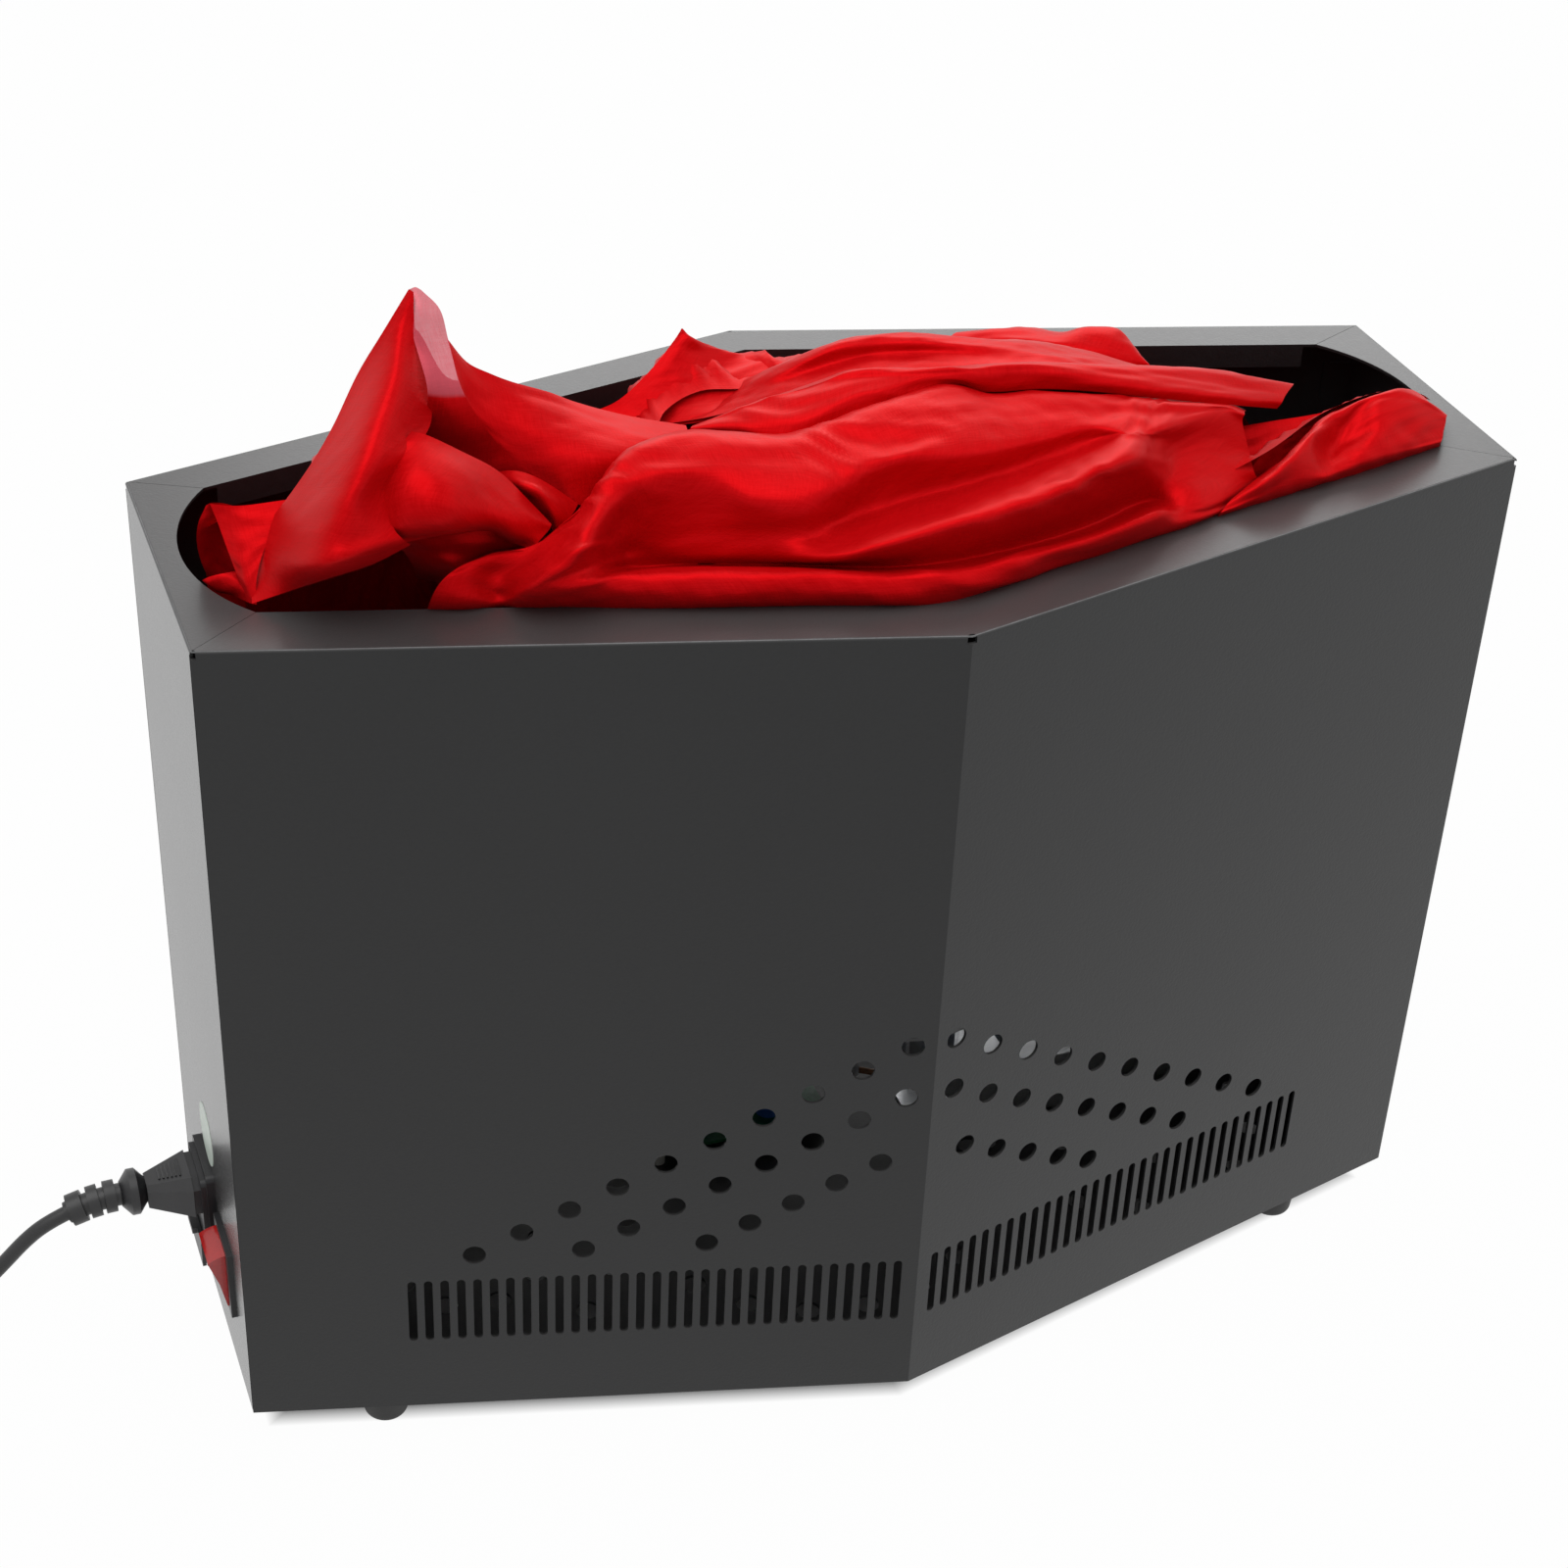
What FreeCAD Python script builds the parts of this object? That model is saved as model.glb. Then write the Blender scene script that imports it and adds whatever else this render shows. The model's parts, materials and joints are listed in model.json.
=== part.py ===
import FreeCAD, Part
import math
import os
import re
import Sketcher
from types import SimpleNamespace

# Silk flame effect light: a tall six-sided sheet housing with an open mouth, three fans that
# blow up through it, two lamp bars, and silk that lies in the mouth while the fans are off.
# X runs along the housing, -Y is its front, +Z is up, and z = 0 is the floor under the feet.

Vector = FreeCAD.Vector
document = FreeCAD.newDocument("SilkFlameLight")
sizeSheet = document.addObject("Spreadsheet::Sheet", "Sizes")
workSheet = document.addObject("Spreadsheet::Sheet", "Formulas")

dimensions = {
    # housing: outline, sheet and mouth
    "shellLength": 506, "endWidth": 124, "middleWidth": 251, "shellHeight": 350,
    "sheet": 1.2, "bendRadius": 1.0, "seamGap": 0.2, "overrun": 2,
    "frontRim": 26, "rearRim": 19, "endRim": 26, "mouthRise": 17, "lipDepth": 10,
    "lipInset": 5, "notchRadius": 1.8, "notchDepth": 3, "flangeWidth": 13, "flangeInset": 66,
    "tabWidth": 11, "tabInset": 16, "endFlangeLength": 84,
    # three falling rows of round vents and one row of slots on each facet
    "ventDiameter": 8.8,
    "upperCount": 10, "upperStart": 9, "upperRise": 173, "upperPitch": 18.2, "upperFall": 10.5,
    "middleCount": 8, "middleStart": 10, "middleRise": 148.5, "middlePitch": 17.3, "middleFall": 9.9,
    "lowerCount": 5, "lowerStart": 18, "lowerRise": 117, "lowerPitch": 16.4, "lowerFall": 9.3,
    "slotCount": 31, "slotStart": 6.4, "slotPitch": 6.3, "slotWidth": 3.3, "slotRise": 35,
    "slotHeight": 31,
    # base plate, its intake holes and its screws
    "basePlate": 1.5, "intakeDiameter": 10, "intakeRing": 80, "intakeCount": 20,
    "sideRing": 32, "sideCount": 9, "outerSideRing": 62, "outerSideCount": 14,
    "baseScrewDiameter": 4, "baseScrewHead": 7.4, "baseScrewHeadDepth": 2, "baseScrewLength": 8,
    "baseScrewInset": 7, "baseScrewNearInset": 163, "baseScrewFarInset": 78, "screwPlay": 0.2,
    # feet
    "footHeight": 14, "footTop": 20, "footBottom": 17, "footRounding": 3.5, "footInset": 53,
    "footRecess": 8, "footRecessDepth": 8, "footScrewDiameter": 4,
    "footScrewHead": 7.4, "footScrewHeadDepth": 2.6, "footNutWidth": 7, "footNutDepth": 3.2,
    "footScrewSpare": 1,
    # fan shelf and its brackets
    "shelfTop": 190, "shelfSheet": 1.5, "shelfPlay": 0.3, "shelfNotch": 8,
    "bracketLength": 70, "bracketLeg": 12,
    "bracketDrop": 15, "shelfScrewAcross": 24, "shelfScrewDiameter": 3, "shelfScrewHead": 5.6,
    "shelfScrewHeadDepth": 1.8, "shelfScrewLength": 7, "wireHoleDiameter": 12, "wireHoleAcross": 76,
    # fans
    "fanSpacing": 0.20548, "fanSize": 120, "fanDepth": 38, "fanBore": 115, "fanFlange": 5,
    "fanBody": 118, "fanCup": 43, "fanCupDepth": 10, "strutWidth": 5, "strutDepth": 4,
    "fanScrewSpacing": 105, "fanScrewDiameter": 4, "fanScrewHead": 7, "fanScrewHeadDepth": 2.2,
    "fanScrewLength": 15, "rotorHub": 41, "rotorHubDepth": 24, "rotorGap": 1, "bladeTip": 111,
    "bladeCount": 7, "bladeChord": 34, "bladeThickness": 1.8, "bladePitchAngle": 38,
    "shaftDiameter": 4, "bearingPlay": 0.05, "shaftReach": 8,
    # finger guards
    "guardWire": 1.6, "guardRingCount": 4, "guardRingFirst": 13, "guardRingStep": 12.5,
    "guardEye": 9, "guardEyeThickness": 1.4, "guardLift": 0.3, "guardGrip": 0.6,
    # lamp bars
    "lampLength": 124, "lampWidth": 30, "lampBoardWidth": 26, "lampBase": 4,
    "finHeight": 27, "finThickness": 1.6,
    "finCount": 13, "boardThickness": 1.6, "lensCount": 7, "lensPitch": 16.5,
    "lensDiameter": 12, "lensTopDiameter": 9, "lensHeight": 5,
    # silk rods and clips
    "rodDiameter": 4, "rodSpread": 28, "rodRise": 15, "rodShare": 0.12578, "rodBracketWidth": 76,
    "rodBracketHeight": 21, "rodBracketSheet": 2, "rodBracketFoot": 14, "rodPlay": 0.1,
    "clipLength": 12, "clipWidth": 8, "clipHeight": 9, "rightClipInset": 63, "rearClipAcross": 100,
    # left end: fused power inlet
    "inletAcross": 6.7, "inletRise": 52, "inletWidth": 30, "inletHeight": 50, "inletFlange": 3.1,
    "inletStepWidth": 28, "inletStepHeight": 45, "inletStep": 2.1, "inletRounding": 2.5,
    "inletBodyWidth": 26, "inletBodyHeight": 46, "inletBodyDepth": 22, "cutoutPlay": 0.5,
    "socketRise": 13.5, "socketWidth": 24.8, "socketHeight": 16.8, "socketDepth": 16.5,
    "pinWidth": 4, "pinThickness": 2, "pinSpread": 7, "pinDrop": 2, "pinReach": 13, "pinTail": 8,
    "drawerDrop": 15, "drawerWidth": 22, "drawerHeight": 11, "drawerDepth": 15, "drawerFace": 1.5,
    "drawerFaceHeight": 14, "drawerPlay": 0.3, "drawerLipWidth": 10, "drawerLip": 2,
    "drawerLipHeight": 2.5, "troughWidth": 20.6, "fuseDiameter": 5, "fuseLength": 20,
    # left end: rocker switch
    "switchAcross": -26, "switchRise": 47, "bezelWidth": 27, "bezelHeight": 32, "bezelDepth": 2,
    "switchBodyWidth": 21.5, "switchBodyHeight": 28, "switchBodyDepth": 22, "rockerWidth": 18.7,
    "rockerSwing": 13.2, "rockerEndRise": 5, "rockerValley": 4.2, "rockerThrow": 30,
    "rockerPlay": 0.3, "rockerBelly": 6, "pivotDepth": 1, "pivotDiameter": 1.8, "pivotLength": 2.2,
    "switchTabWidth": 6.3, "switchTabThickness": 0.8, "switchTabLength": 9, "switchTabSpread": 7,
    # left end: round label
    "labelDiameter": 26, "labelThickness": 0.2, "labelAcross": 1.3, "labelRise": 92,
    # connector on the cord
    "noseWidth": 24, "noseHeight": 16, "noseLength": 17, "noseChamfer": 4, "shoulderStandoff": 2.8,
    "noseSlotPlay": 0.3, "gripWidth": 25.5, "gripHeight": 17.5, "gripLength": 17,
    "waistWidth": 12, "waistHeight": 10, "knobDiameter": 18.6, "knobLength": 10, "knobFlat": 3,
    "ribCount": 6, "ribPitch": 1.6, "ribWidth": 0.8, "ribLength": 11, "ribHeight": 0.5,
    "reliefCore": 9, "reliefRing": 13, "reliefRingCount": 3, "reliefRingLength": 4.3,
    "reliefGap": 2, "reliefEnd": 2.7, "reliefLip": 1.2, "reliefBend": 56,
    # cord, coil, tie and plug
    "cordDiameter": 6, "cordGap": 0.5, "coilAway": 174, "coilDeep": -37.8, "coilInner": 25,
    "coilTurnsIn": 3, "coilTurnsOut": 3.25, "tieWidth": 4,
    "tieThickness": 0.8, "tiePlay": 0.3, "plugWidth": 34, "plugLength": 34, "plugHeight": 20,
    "plugChamfer": 4, "plugReliefLength": 18, "plugReliefEnd": 9, "plugReliefRoot": 15,
    "bladePinWidth": 6.3, "bladePinThickness": 1.6, "bladePinLength": 18, "bladePinSpread": 7,
    # parts that stand on the base plate
    "driverLength": 120, "driverWidth": 42, "driverHeight": 30, "driverInset": 123,
    "driverDeep": 34, "driverEar": 9, "driverEarThickness": 1.5, "boardLength": 84,
    "boardWidth": 52, "boardShare": 0.64423, "boardDeep": 52, "standoffHeight": 8,
    "standoffDiameter": 6, "standoffInset": 5, "relayLength": 19, "relayWidth": 15,
    "relayHeight": 15, "capacitorDiameter": 12, "capacitorHeight": 22, "terminalLength": 46,
    "terminalWidth": 20, "terminalHeight": 15, "terminalInset": 103, "terminalDeep": 34,
    "terminalPitch": 11, "terminalScrew": 4, "studDiameter": 5, "studHeight": 14,
    "studInset": 63, "studDeep": -30, "studNutWidth": 8, "studNutDepth": 4,
    "mainsWireDiameter": 3, "fanWireDiameter": 2,
    # leads: how far each runs straight out of its terminal, and how high its middle rises
    "leadOut": 12, "switchLeadOut": 9, "earthLeadOut": 20, "switchedLeadOut": 16, "boardLeadUp": 10,
    "driverLeadUp": 8, "driverLeadOut": 8, "lowLift": 2, "neutralLift": 3, "highLift": 4, "driverLift": 5,
    # silk, as it lies with the fans off
    "silkPlay": 1,
    # shares: how much of a run an arc takes, and the cord's straight start in diameters
    "arcShare": 0.45, "straightStart": 1.5,
}
# Sizes that follow from the ones above.
worked = {
    "slope": "(middleWidth - endWidth)/shellLength",
    "mouthLength": "shellLength - 2*endRim",
    "footAcross": "shellLength/2 - footInset",
    "footDeep": "endWidth/2",
    "baseScrewNear": "shellLength/2 - baseScrewNearInset",
    "baseScrewFar": "shellLength/2 - baseScrewFarInset",
    "fanPitch": "fanSize + fanSpacing*(shellLength - 3*fanSize)",
    "lampSetback": "(fanSize/2 + middleWidth/2 - slope*lampLength/2 - sheet)/2",
    "guardReach": "fanPitch + (fanScrewSpacing + guardEye)/2",
    "rodNearest": "guardReach + rodBracketFoot - rodBracketSheet/2",
    "rodReach": "rodNearest + rodShare*(shellLength/2 - sheet - rodNearest)",
    "rightClipAcross": "shellLength/2 - rightClipInset",
    "driverAcross": "shellLength/2 - driverInset",
    "terminalAcross": "terminalInset - shellLength/2",
    "boardFrom": "terminalAcross + terminalLength/2",
    "boardTo": "driverAcross - driverLength/2 - driverEar",
    "boardAcross": "boardFrom + boardShare*(boardTo - boardFrom - boardLength) + boardLength/2",
    "studAcross": "studInset - shellLength/2",
    "coilAcross": "-shellLength/2 - coilAway",
    "housingCentre": "(inletFlange + inletStep + drawerPlay + drawerFace + drawerLip)/2",
}
aliases = list(dimensions) + list(worked)
for row, alias in enumerate(aliases, 1):
    sizeSheet.set("A%d" % row, alias)
    sizeSheet.setAlias("B%d" % row, alias)
    sizeSheet.set("B%d" % row, str(dimensions[alias]) if alias in dimensions else "=" + worked[alias])
document.recompute()
size = SimpleNamespace(**{alias: float(sizeSheet.get(alias)) for alias in aliases})

# Lengths that several pieces share, written as formulas of the sizes above.
halfLength = "shellLength/2"
bendAngle = "atan(slope)"
facetLength = "(shellLength/(2*cos(%s)))" % bendAngle
plateTop = "(footHeight + basePlate)"
shellTop = "(footHeight + shellHeight)"
panelHeight = "(shellHeight - basePlate)"
mouthHalf = "(mouthLength/2)"
shelfUnder = "(shelfTop - shelfSheet)"
sheetAcross = "(sheet/cos(%s))" % bendAngle
inletFront = "(-shellLength/2 - inletFlange - inletStep)"
socketZ = "(footHeight + inletRise + socketRise)"
drawerZ = "(footHeight + inletRise - drawerDrop)"
switchZ = "(footHeight + switchRise)"
pivotX = "(-shellLength/2 - bezelDepth + pivotDepth)"
rodZ = "(shelfTop + rodRise)"
nodes = {}


def bound(text):
    """The same formula with the sheet's name before each alias."""
    words = "|".join(sorted(aliases, key=len, reverse=True))
    return re.sub(r"\b(%s)\b" % words, r"Sizes.\1", str(text))


def bind(item, **formulas):
    for name, text in formulas.items():
        item.setExpression(name, bound(text))
    return item


def place(item, x=0, y=0, z=0, axis=None, angle=None):
    """Turn an object about an axis, then tie its position to the sheet."""
    if axis:
        turn = angle if isinstance(angle, (int, float)) else 0
        item.Placement = FreeCAD.Placement(Vector(), FreeCAD.Rotation(Vector(*axis), turn))
        if turn != angle:
            item.setExpression("Placement.Rotation.Angle", bound(angle))
    for letter, text in (("x", x), ("y", y), ("z", z)):
        if str(text) != "0":
            item.setExpression("Placement.Base." + letter, bound(text))
    return item


def valueOf(formula):
    """A formula's value, read from a cell of a second sheet."""
    workSheet.set("A1", "=" + bound(formula))
    document.recompute([workSheet])
    result = workSheet.get("A1")
    return float(getattr(result, "Value", result))


def box(length, width, height, x=0, y=0, z=0):
    """A block centred on x and y that stands on z."""
    made = bind(document.addObject("Part::Box", "Block"), Length=length, Width=width, Height=height)
    return place(made, "(%s) - (%s)/2" % (x, length), "(%s) - (%s)/2" % (y, width), z)


def rod(diameter, height, x=0, y=0, z=0, axis=None, angle=90):
    made = bind(document.addObject("Part::Cylinder", "Rod"), Radius="(%s)/2" % diameter, Height=height)
    return place(made, x, y, z, axis, angle if axis else None)


def cone(bottom, top, height, x=0, y=0, z=0, axis=None, angle=90):
    made = bind(document.addObject("Part::Cone", "Cone"), Radius1="(%s)/2" % bottom,
                Radius2="(%s)/2" % top, Height=height)
    return place(made, x, y, z, axis, angle if axis else None)


def hexagon(width, height, x=0, y=0, z=0):
    made = bind(document.addObject("Part::Prism", "Hexagon"), Circumradius="(%s)/sqrt(3)" % width,
                Height=height)
    return place(made, x, y, z)


def fuse(*items, refine=True):
    if len(items) == 1:
        return items[0]
    made = document.addObject("Part::MultiFuse", "Joined")
    made.Shapes = list(items)
    made.Refine = refine
    return made


def group(*items):
    """Several separate solids that share one node."""
    made = document.addObject("Part::Compound", "Group")
    made.Links = list(items)
    return made


def cut(base, *tools):
    made = document.addObject("Part::Cut", "Cut")
    made.Base = base
    made.Tool = fuse(*tools, refine=False)
    return made


def common(first, second):
    made = document.addObject("Part::Common", "Shared")
    made.Base, made.Tool = first, second
    return made


def mirrored(source, normal):
    made = document.addObject("Part::Mirroring", "Mirror")
    made.Source, made.Normal = source, Vector(*normal)
    return made


def rounded(base, radius, wanted):
    """Round the edges that a test on their end points picks."""
    document.recompute()
    picked = []
    for number, edge in enumerate(base.Shape.Edges, 1):
        if wanted([corner.Point for corner in edge.Vertexes]):
            picked.append((number, radius, radius))
    made = document.addObject("Part::Fillet", "Rounded")
    made.Base, made.Edges = base, picked
    return made


def node(name, item):
    """Keep a piece under its name, moved so that x = 0 is midway between the light's two ends."""
    moved = place(group(item), "housingCentre")
    moved.Label = name
    nodes[name] = moved


def originPlane(body, role):
    return next(item for item in body.Origin.OriginFeatures if item.Role == role)


def newSketch(body, role, name):
    made = body.newObject("Sketcher::SketchObject", name)
    made.AttachmentSupport = [(originPlane(body, role), "")]
    made.MapMode = "FlatFace"
    return made


def pinPoint(sketch, edge, end, across, up):
    for kind, text in (("DistanceX", across), ("DistanceY", up)):
        number = sketch.addConstraint(Sketcher.Constraint(kind, -1, 1, edge, end, 1.0))
        sketch.setExpression("Constraints[%d]" % number, bound(text))


def drawPolygon(sketch, corners):
    """A closed outline whose corners are tied to the sheet."""
    first, count = sketch.GeometryCount, len(corners)
    around = [Vector(math.cos(2 * math.pi * i / count), math.sin(2 * math.pi * i / count))
              for i in range(count + 1)]
    for i in range(count):
        sketch.addGeometry(Part.LineSegment(around[i], around[i + 1]), False)
    for i in range(count):
        sketch.addConstraint(Sketcher.Constraint("Coincident", first + i, 2, first + (i + 1) % count, 1))
    for i, (across, up) in enumerate(corners):
        pinPoint(sketch, first + i, 1, across, up)


def newBody(name):
    return document.addObject("PartDesign::Body", name)


def prism(plane, corners, depth, x=0, y=0, z=0, reverse=False, axis=None, angle=None, centred=False):
    """A pad on one of the body's own planes: XY grows up, YZ grows to +X, XZ grows to -Y."""
    body = newBody("Plate")
    outline = newSketch(body, plane, "Outline")
    drawPolygon(outline, corners)
    pad = body.newObject("PartDesign::Pad", "Pad")
    pad.Profile, pad.Reversed, pad.Midplane = outline, reverse, centred
    bind(pad, Length=depth)
    return place(body, x, y, z, axis, angle)


def outerEdge(x):
    """Half of the housing's width at x, for x between the middle and the right end."""
    return "(middleWidth/2 - slope*(%s))" % x


# Housing

def patternPocket(body, sketch, count, length, direction):
    """Cut a sketch through the plate and repeat it along a direction."""
    pocket = body.newObject("PartDesign::Pocket", "Pocket")
    pocket.Profile, pocket.Type, pocket.Midplane = sketch, 1, True
    row = body.newObject("PartDesign::LinearPattern", "Row")
    row.Originals, row.Direction = [pocket], (sketch, [direction])
    bind(row, Occurrences=count, Length=length)
    body.Tip = row


def ventRow(body, kind):
    """One falling row of round vents: the next vent's centre gives the row's direction."""
    start, rise, pitch, fall = (kind + word for word in ("Start", "Rise", "Pitch", "Fall"))
    sketch = newSketch(body, "XZ_Plane", kind + "Vents")
    sketch.addGeometry(Part.Circle(Vector(10, 10, 0), Vector(0, 0, 1), 3), False)
    sketch.addGeometry(Part.LineSegment(Vector(10, 10, 0), Vector(20, 5, 0)), True)
    sketch.addConstraint(Sketcher.Constraint("Coincident", 1, 1, 0, 3))
    number = sketch.addConstraint(Sketcher.Constraint("Radius", 0, 3.0))
    sketch.setExpression("Constraints[%d]" % number, bound("ventDiameter/2"))
    level = "(%s - basePlate)" % rise
    pinPoint(sketch, 0, 3, start, level)
    pinPoint(sketch, 1, 2, "%s + %s" % (start, pitch), "%s - %s" % (level, fall))
    patternPocket(body, sketch, kind + "Count",
                  "(%sCount - 1)*sqrt(%s^2 + %s^2)" % (kind, pitch, fall), "Axis0")


def slotRow(body):
    """Upright slots with round ends, side by side along the foot of a facet."""
    low, high = "(slotRise - basePlate + slotWidth/2)", "(slotRise - basePlate + slotHeight - slotWidth/2)"
    left, right = "slotStart", "(slotStart + slotWidth)"
    sketch = newSketch(body, "XZ_Plane", "Slots")
    sketch.addGeometry(Part.LineSegment(Vector(1, 1), Vector(1, 5)), False)
    sketch.addGeometry(Part.Arc(Vector(1, 5), Vector(2, 6), Vector(3, 5)), False)
    sketch.addGeometry(Part.LineSegment(Vector(3, 5), Vector(3, 1)), False)
    sketch.addGeometry(Part.Arc(Vector(3, 1), Vector(2, 0), Vector(1, 1)), False)
    for line, arc, end, tip in ((0, 1, 2, 2), (2, 1, 1, 1), (2, 3, 2, 2), (0, 3, 1, 1)):
        sketch.addConstraint(Sketcher.Constraint("Tangent", line, end, arc, tip))
    pinPoint(sketch, 0, 1, left, low)
    pinPoint(sketch, 0, 2, left, high)
    pinPoint(sketch, 2, 1, right, high)
    patternPocket(body, sketch, "slotCount", "(slotCount - 1)*slotPitch", "H_Axis")


def facet():
    """The right-hand facet of a long panel, drawn flat and turned about the middle bend."""
    body = newBody("Facet")
    outline = newSketch(body, "XZ_Plane", "Outline")
    low, far = "(%s - notchDepth)" % panelHeight, "(%s - notchRadius)" % facetLength
    drawPolygon(outline, [("0", "0"), (facetLength, "0"), (facetLength, low), (far, low), (far, panelHeight),
                          ("notchRadius", panelHeight), ("notchRadius", low), ("0", low)])
    pad = body.newObject("PartDesign::Pad", "Pad")
    pad.Profile, pad.Reversed = outline, True
    bind(pad, Length="sheet")
    document.recompute()
    slotRow(body)
    for kind in ("upper", "middle", "lower"):
        ventRow(body, kind)
    return place(body, 0, "-middleWidth/2", plateTop, (0, 0, 1), bendAngle)


def chevron(inner, outer, reach, height, z):
    """A flat strip that follows both facets, between two distances behind the outer face."""
    end, middle = "(%s)" % outerEdge(reach), "(middleWidth/2)"
    corners = [("-(%s)" % reach, "-%s + %s" % (end, outer)), ("0", "-%s + %s" % (middle, outer)),
               (reach, "-%s + %s" % (end, outer)), (reach, "-%s + %s" % (end, inner)),
               ("0", "-%s + %s" % (middle, inner)), ("-(%s)" % reach, "-%s + %s" % (end, inner))]
    return prism("XY_Plane", corners, height, 0, 0, z)


def rimPlate(rim):
    """The folded top of a long panel, mitred to the end panels' tops."""
    corners = [("-" + halfLength, "-endWidth/2"), ("0", "-middleWidth/2"), (halfLength, "-endWidth/2"),
               (mouthHalf, "-%s + %s" % (outerEdge(mouthHalf), rim)), ("0", "-middleWidth/2 + %s" % rim),
               ("-" + mouthHalf, "-%s + %s" % (outerEdge(mouthHalf), rim))]
    spots = ((0, "-middleWidth/2"), (halfLength, "-endWidth/2"), ("-" + halfLength, "-endWidth/2"))
    notches = [rod("2*notchRadius", "sheet + 2*overrun", x, y, shellTop + " - sheet - overrun")
               for x, y in spots]
    return cut(prism("XY_Plane", corners, "sheet", 0, 0, shellTop + " - sheet"), *notches)


def frontScrewSpots():
    spots = []
    for x in ("baseScrewNear", "baseScrewFar"):
        for sign in ("", "-"):
            spots.append((sign + x, "-%s + baseScrewInset" % outerEdge(x)))
    return spots


def longPanel(rim):
    """Two facets, a folded rim with a lip, and a foot flange that takes the base plate's screws."""
    right = facet()
    lip = chevron("%s - %s" % (rim, sheetAcross), rim, mouthHalf + " - lipInset", "lipDepth",
                  shellTop + " - lipDepth")
    flange = chevron("sheet/2", "flangeWidth", halfLength + " - flangeInset", "sheet", plateTop)
    holes = [rod("baseScrewDiameter + 2*screwPlay", "sheet + 2*overrun", x, y, plateTop + " - overrun")
             for x, y in frontScrewSpots()]
    plain = fuse(right, mirrored(right, (1, 0, 0)), rimPlate(rim), lip, cut(flange, *holes))
    top, half, deep = valueOf(shellTop), size.shellLength / 2, size.middleWidth / 2
    lean, reach = size.slope, 2 * size.notchRadius

    def isBend(ends):
        onFace = all(abs(end.y + deep - lean * abs(end.x)) < size.seamGap for end in ends)
        alongTop = all(abs(end.z - top) < size.seamGap for end in ends)
        return onFace and alongTop and (ends[-1] - ends[0]).Length > half - 2 * reach
    return rounded(plain, size.bendRadius, isBend)


def endPanel(side):
    """A flat end with its own piece of rim, tabs behind the long panels and a foot flange."""
    face, sign = ("(-%s)" % halfLength, "") if side < 0 else ("(%s - sheet)" % halfLength, "-")
    inside = "(endWidth/2 - %s - seamGap)" % sheetAcross
    outline = [("-" + inside, "0"), (inside, "0"), (inside, panelHeight), ("-" + inside, panelHeight)]
    plate = prism("YZ_Plane", outline, "sheet", face, 0, plateTop)
    low, high = "(-%s + frontRim)" % outerEdge(mouthHalf), "(%s - rearRim)" % outerEdge(mouthHalf)
    farX, nearX = ("-" + halfLength, "-" + mouthHalf) if side < 0 else (halfLength, mouthHalf)
    rim = prism("XY_Plane", [(farX, "-endWidth/2 + seamGap"), (nearX, low + " + seamGap"),
                             (nearX, high + " - seamGap"), (farX, "endWidth/2 - seamGap")],
                "sheet", 0, 0, shellTop + " - sheet")
    chord = "((%s - %s)/2)" % (high, low)
    radius = "((%s^2 + mouthRise^2)/(2*mouthRise))" % chord
    centre = "(%s + mouthRise - %s)" % (mouthHalf, radius)
    arc = rod("2*" + radius, "sheet + 2*overrun", "%s%s" % ("-" if side < 0 else "", centre),
              "(%s + %s)/2" % (high, low), shellTop + " - sheet - overrun")
    corner = "%s - sheet" % halfLength
    behind = "%s + seamGap" % sheetAcross
    tabs = []
    for tip in ("-", ""):
        flip = "+" if tip else "-"
        near, far = outerEdge(corner), outerEdge(corner + " - tabWidth")
        xNear, xFar = (("-(%s)" % corner, "-(%s - tabWidth)" % corner) if side < 0
                       else ("(%s)" % corner, "(%s - tabWidth)" % corner))
        points = [(xNear, "%s%s %s (%s)" % (tip, near, flip, behind)),
                  (xFar, "%s%s %s (%s)" % (tip, far, flip, behind)),
                  (xFar, "%s%s %s (%s + sheet)" % (tip, far, flip, behind)),
                  (xNear, "%s%s %s (%s + sheet)" % (tip, near, flip, behind))]
        tabs.append(prism("XY_Plane", points, panelHeight + " - 2*tabInset", 0, 0, plateTop + " + tabInset"))
    flangeX = "(-%s + flangeWidth/2)" % halfLength if side < 0 else "(%s - flangeWidth/2)" % halfLength
    foot = box("flangeWidth", "endFlangeLength", "sheet", flangeX, 0, plateTop)
    screwX = "(-%s + baseScrewInset)" % halfLength if side < 0 else "(%s - baseScrewInset)" % halfLength
    screwHole = rod("baseScrewDiameter + 2*screwPlay", "sheet + 2*overrun", screwX, 0,
                    plateTop + " - overrun")
    holes = [arc, screwHole]
    if side < 0:
        holes.append(box("4*overrun", "inletBodyWidth + 2*cutoutPlay", "inletBodyHeight + 2*cutoutPlay",
                         "-" + halfLength, "inletAcross",
                         "footHeight + inletRise - inletBodyHeight/2 - cutoutPlay"))
        holes.append(box("4*overrun", "switchBodyWidth + 2*cutoutPlay", "switchBodyHeight + 2*cutoutPlay",
                         "-" + halfLength, "switchAcross", switchZ + " - switchBodyHeight/2 - cutoutPlay"))
    plain = cut(fuse(plate, rim, foot, *tabs), *holes)
    top, edge = valueOf(shellTop), side * size.shellLength / 2

    def isBend(ends):
        atEdge = all(abs(end.x - edge) < size.seamGap for end in ends)
        alongTop = atEdge and all(abs(end.z - top) < size.seamGap for end in ends)
        return alongTop and (ends[-1] - ends[0]).Length > size.endWidth / 2
    return rounded(plain, size.bendRadius, isBend)


def baseScrewSpots():
    spots = []
    for x, y in frontScrewSpots():
        spots += [(x, y), (x, "-(%s)" % y)]
    for sign in ("-", ""):
        spots.append(("%s(%s - baseScrewInset)" % (sign, halfLength), "0"))
    return spots


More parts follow.
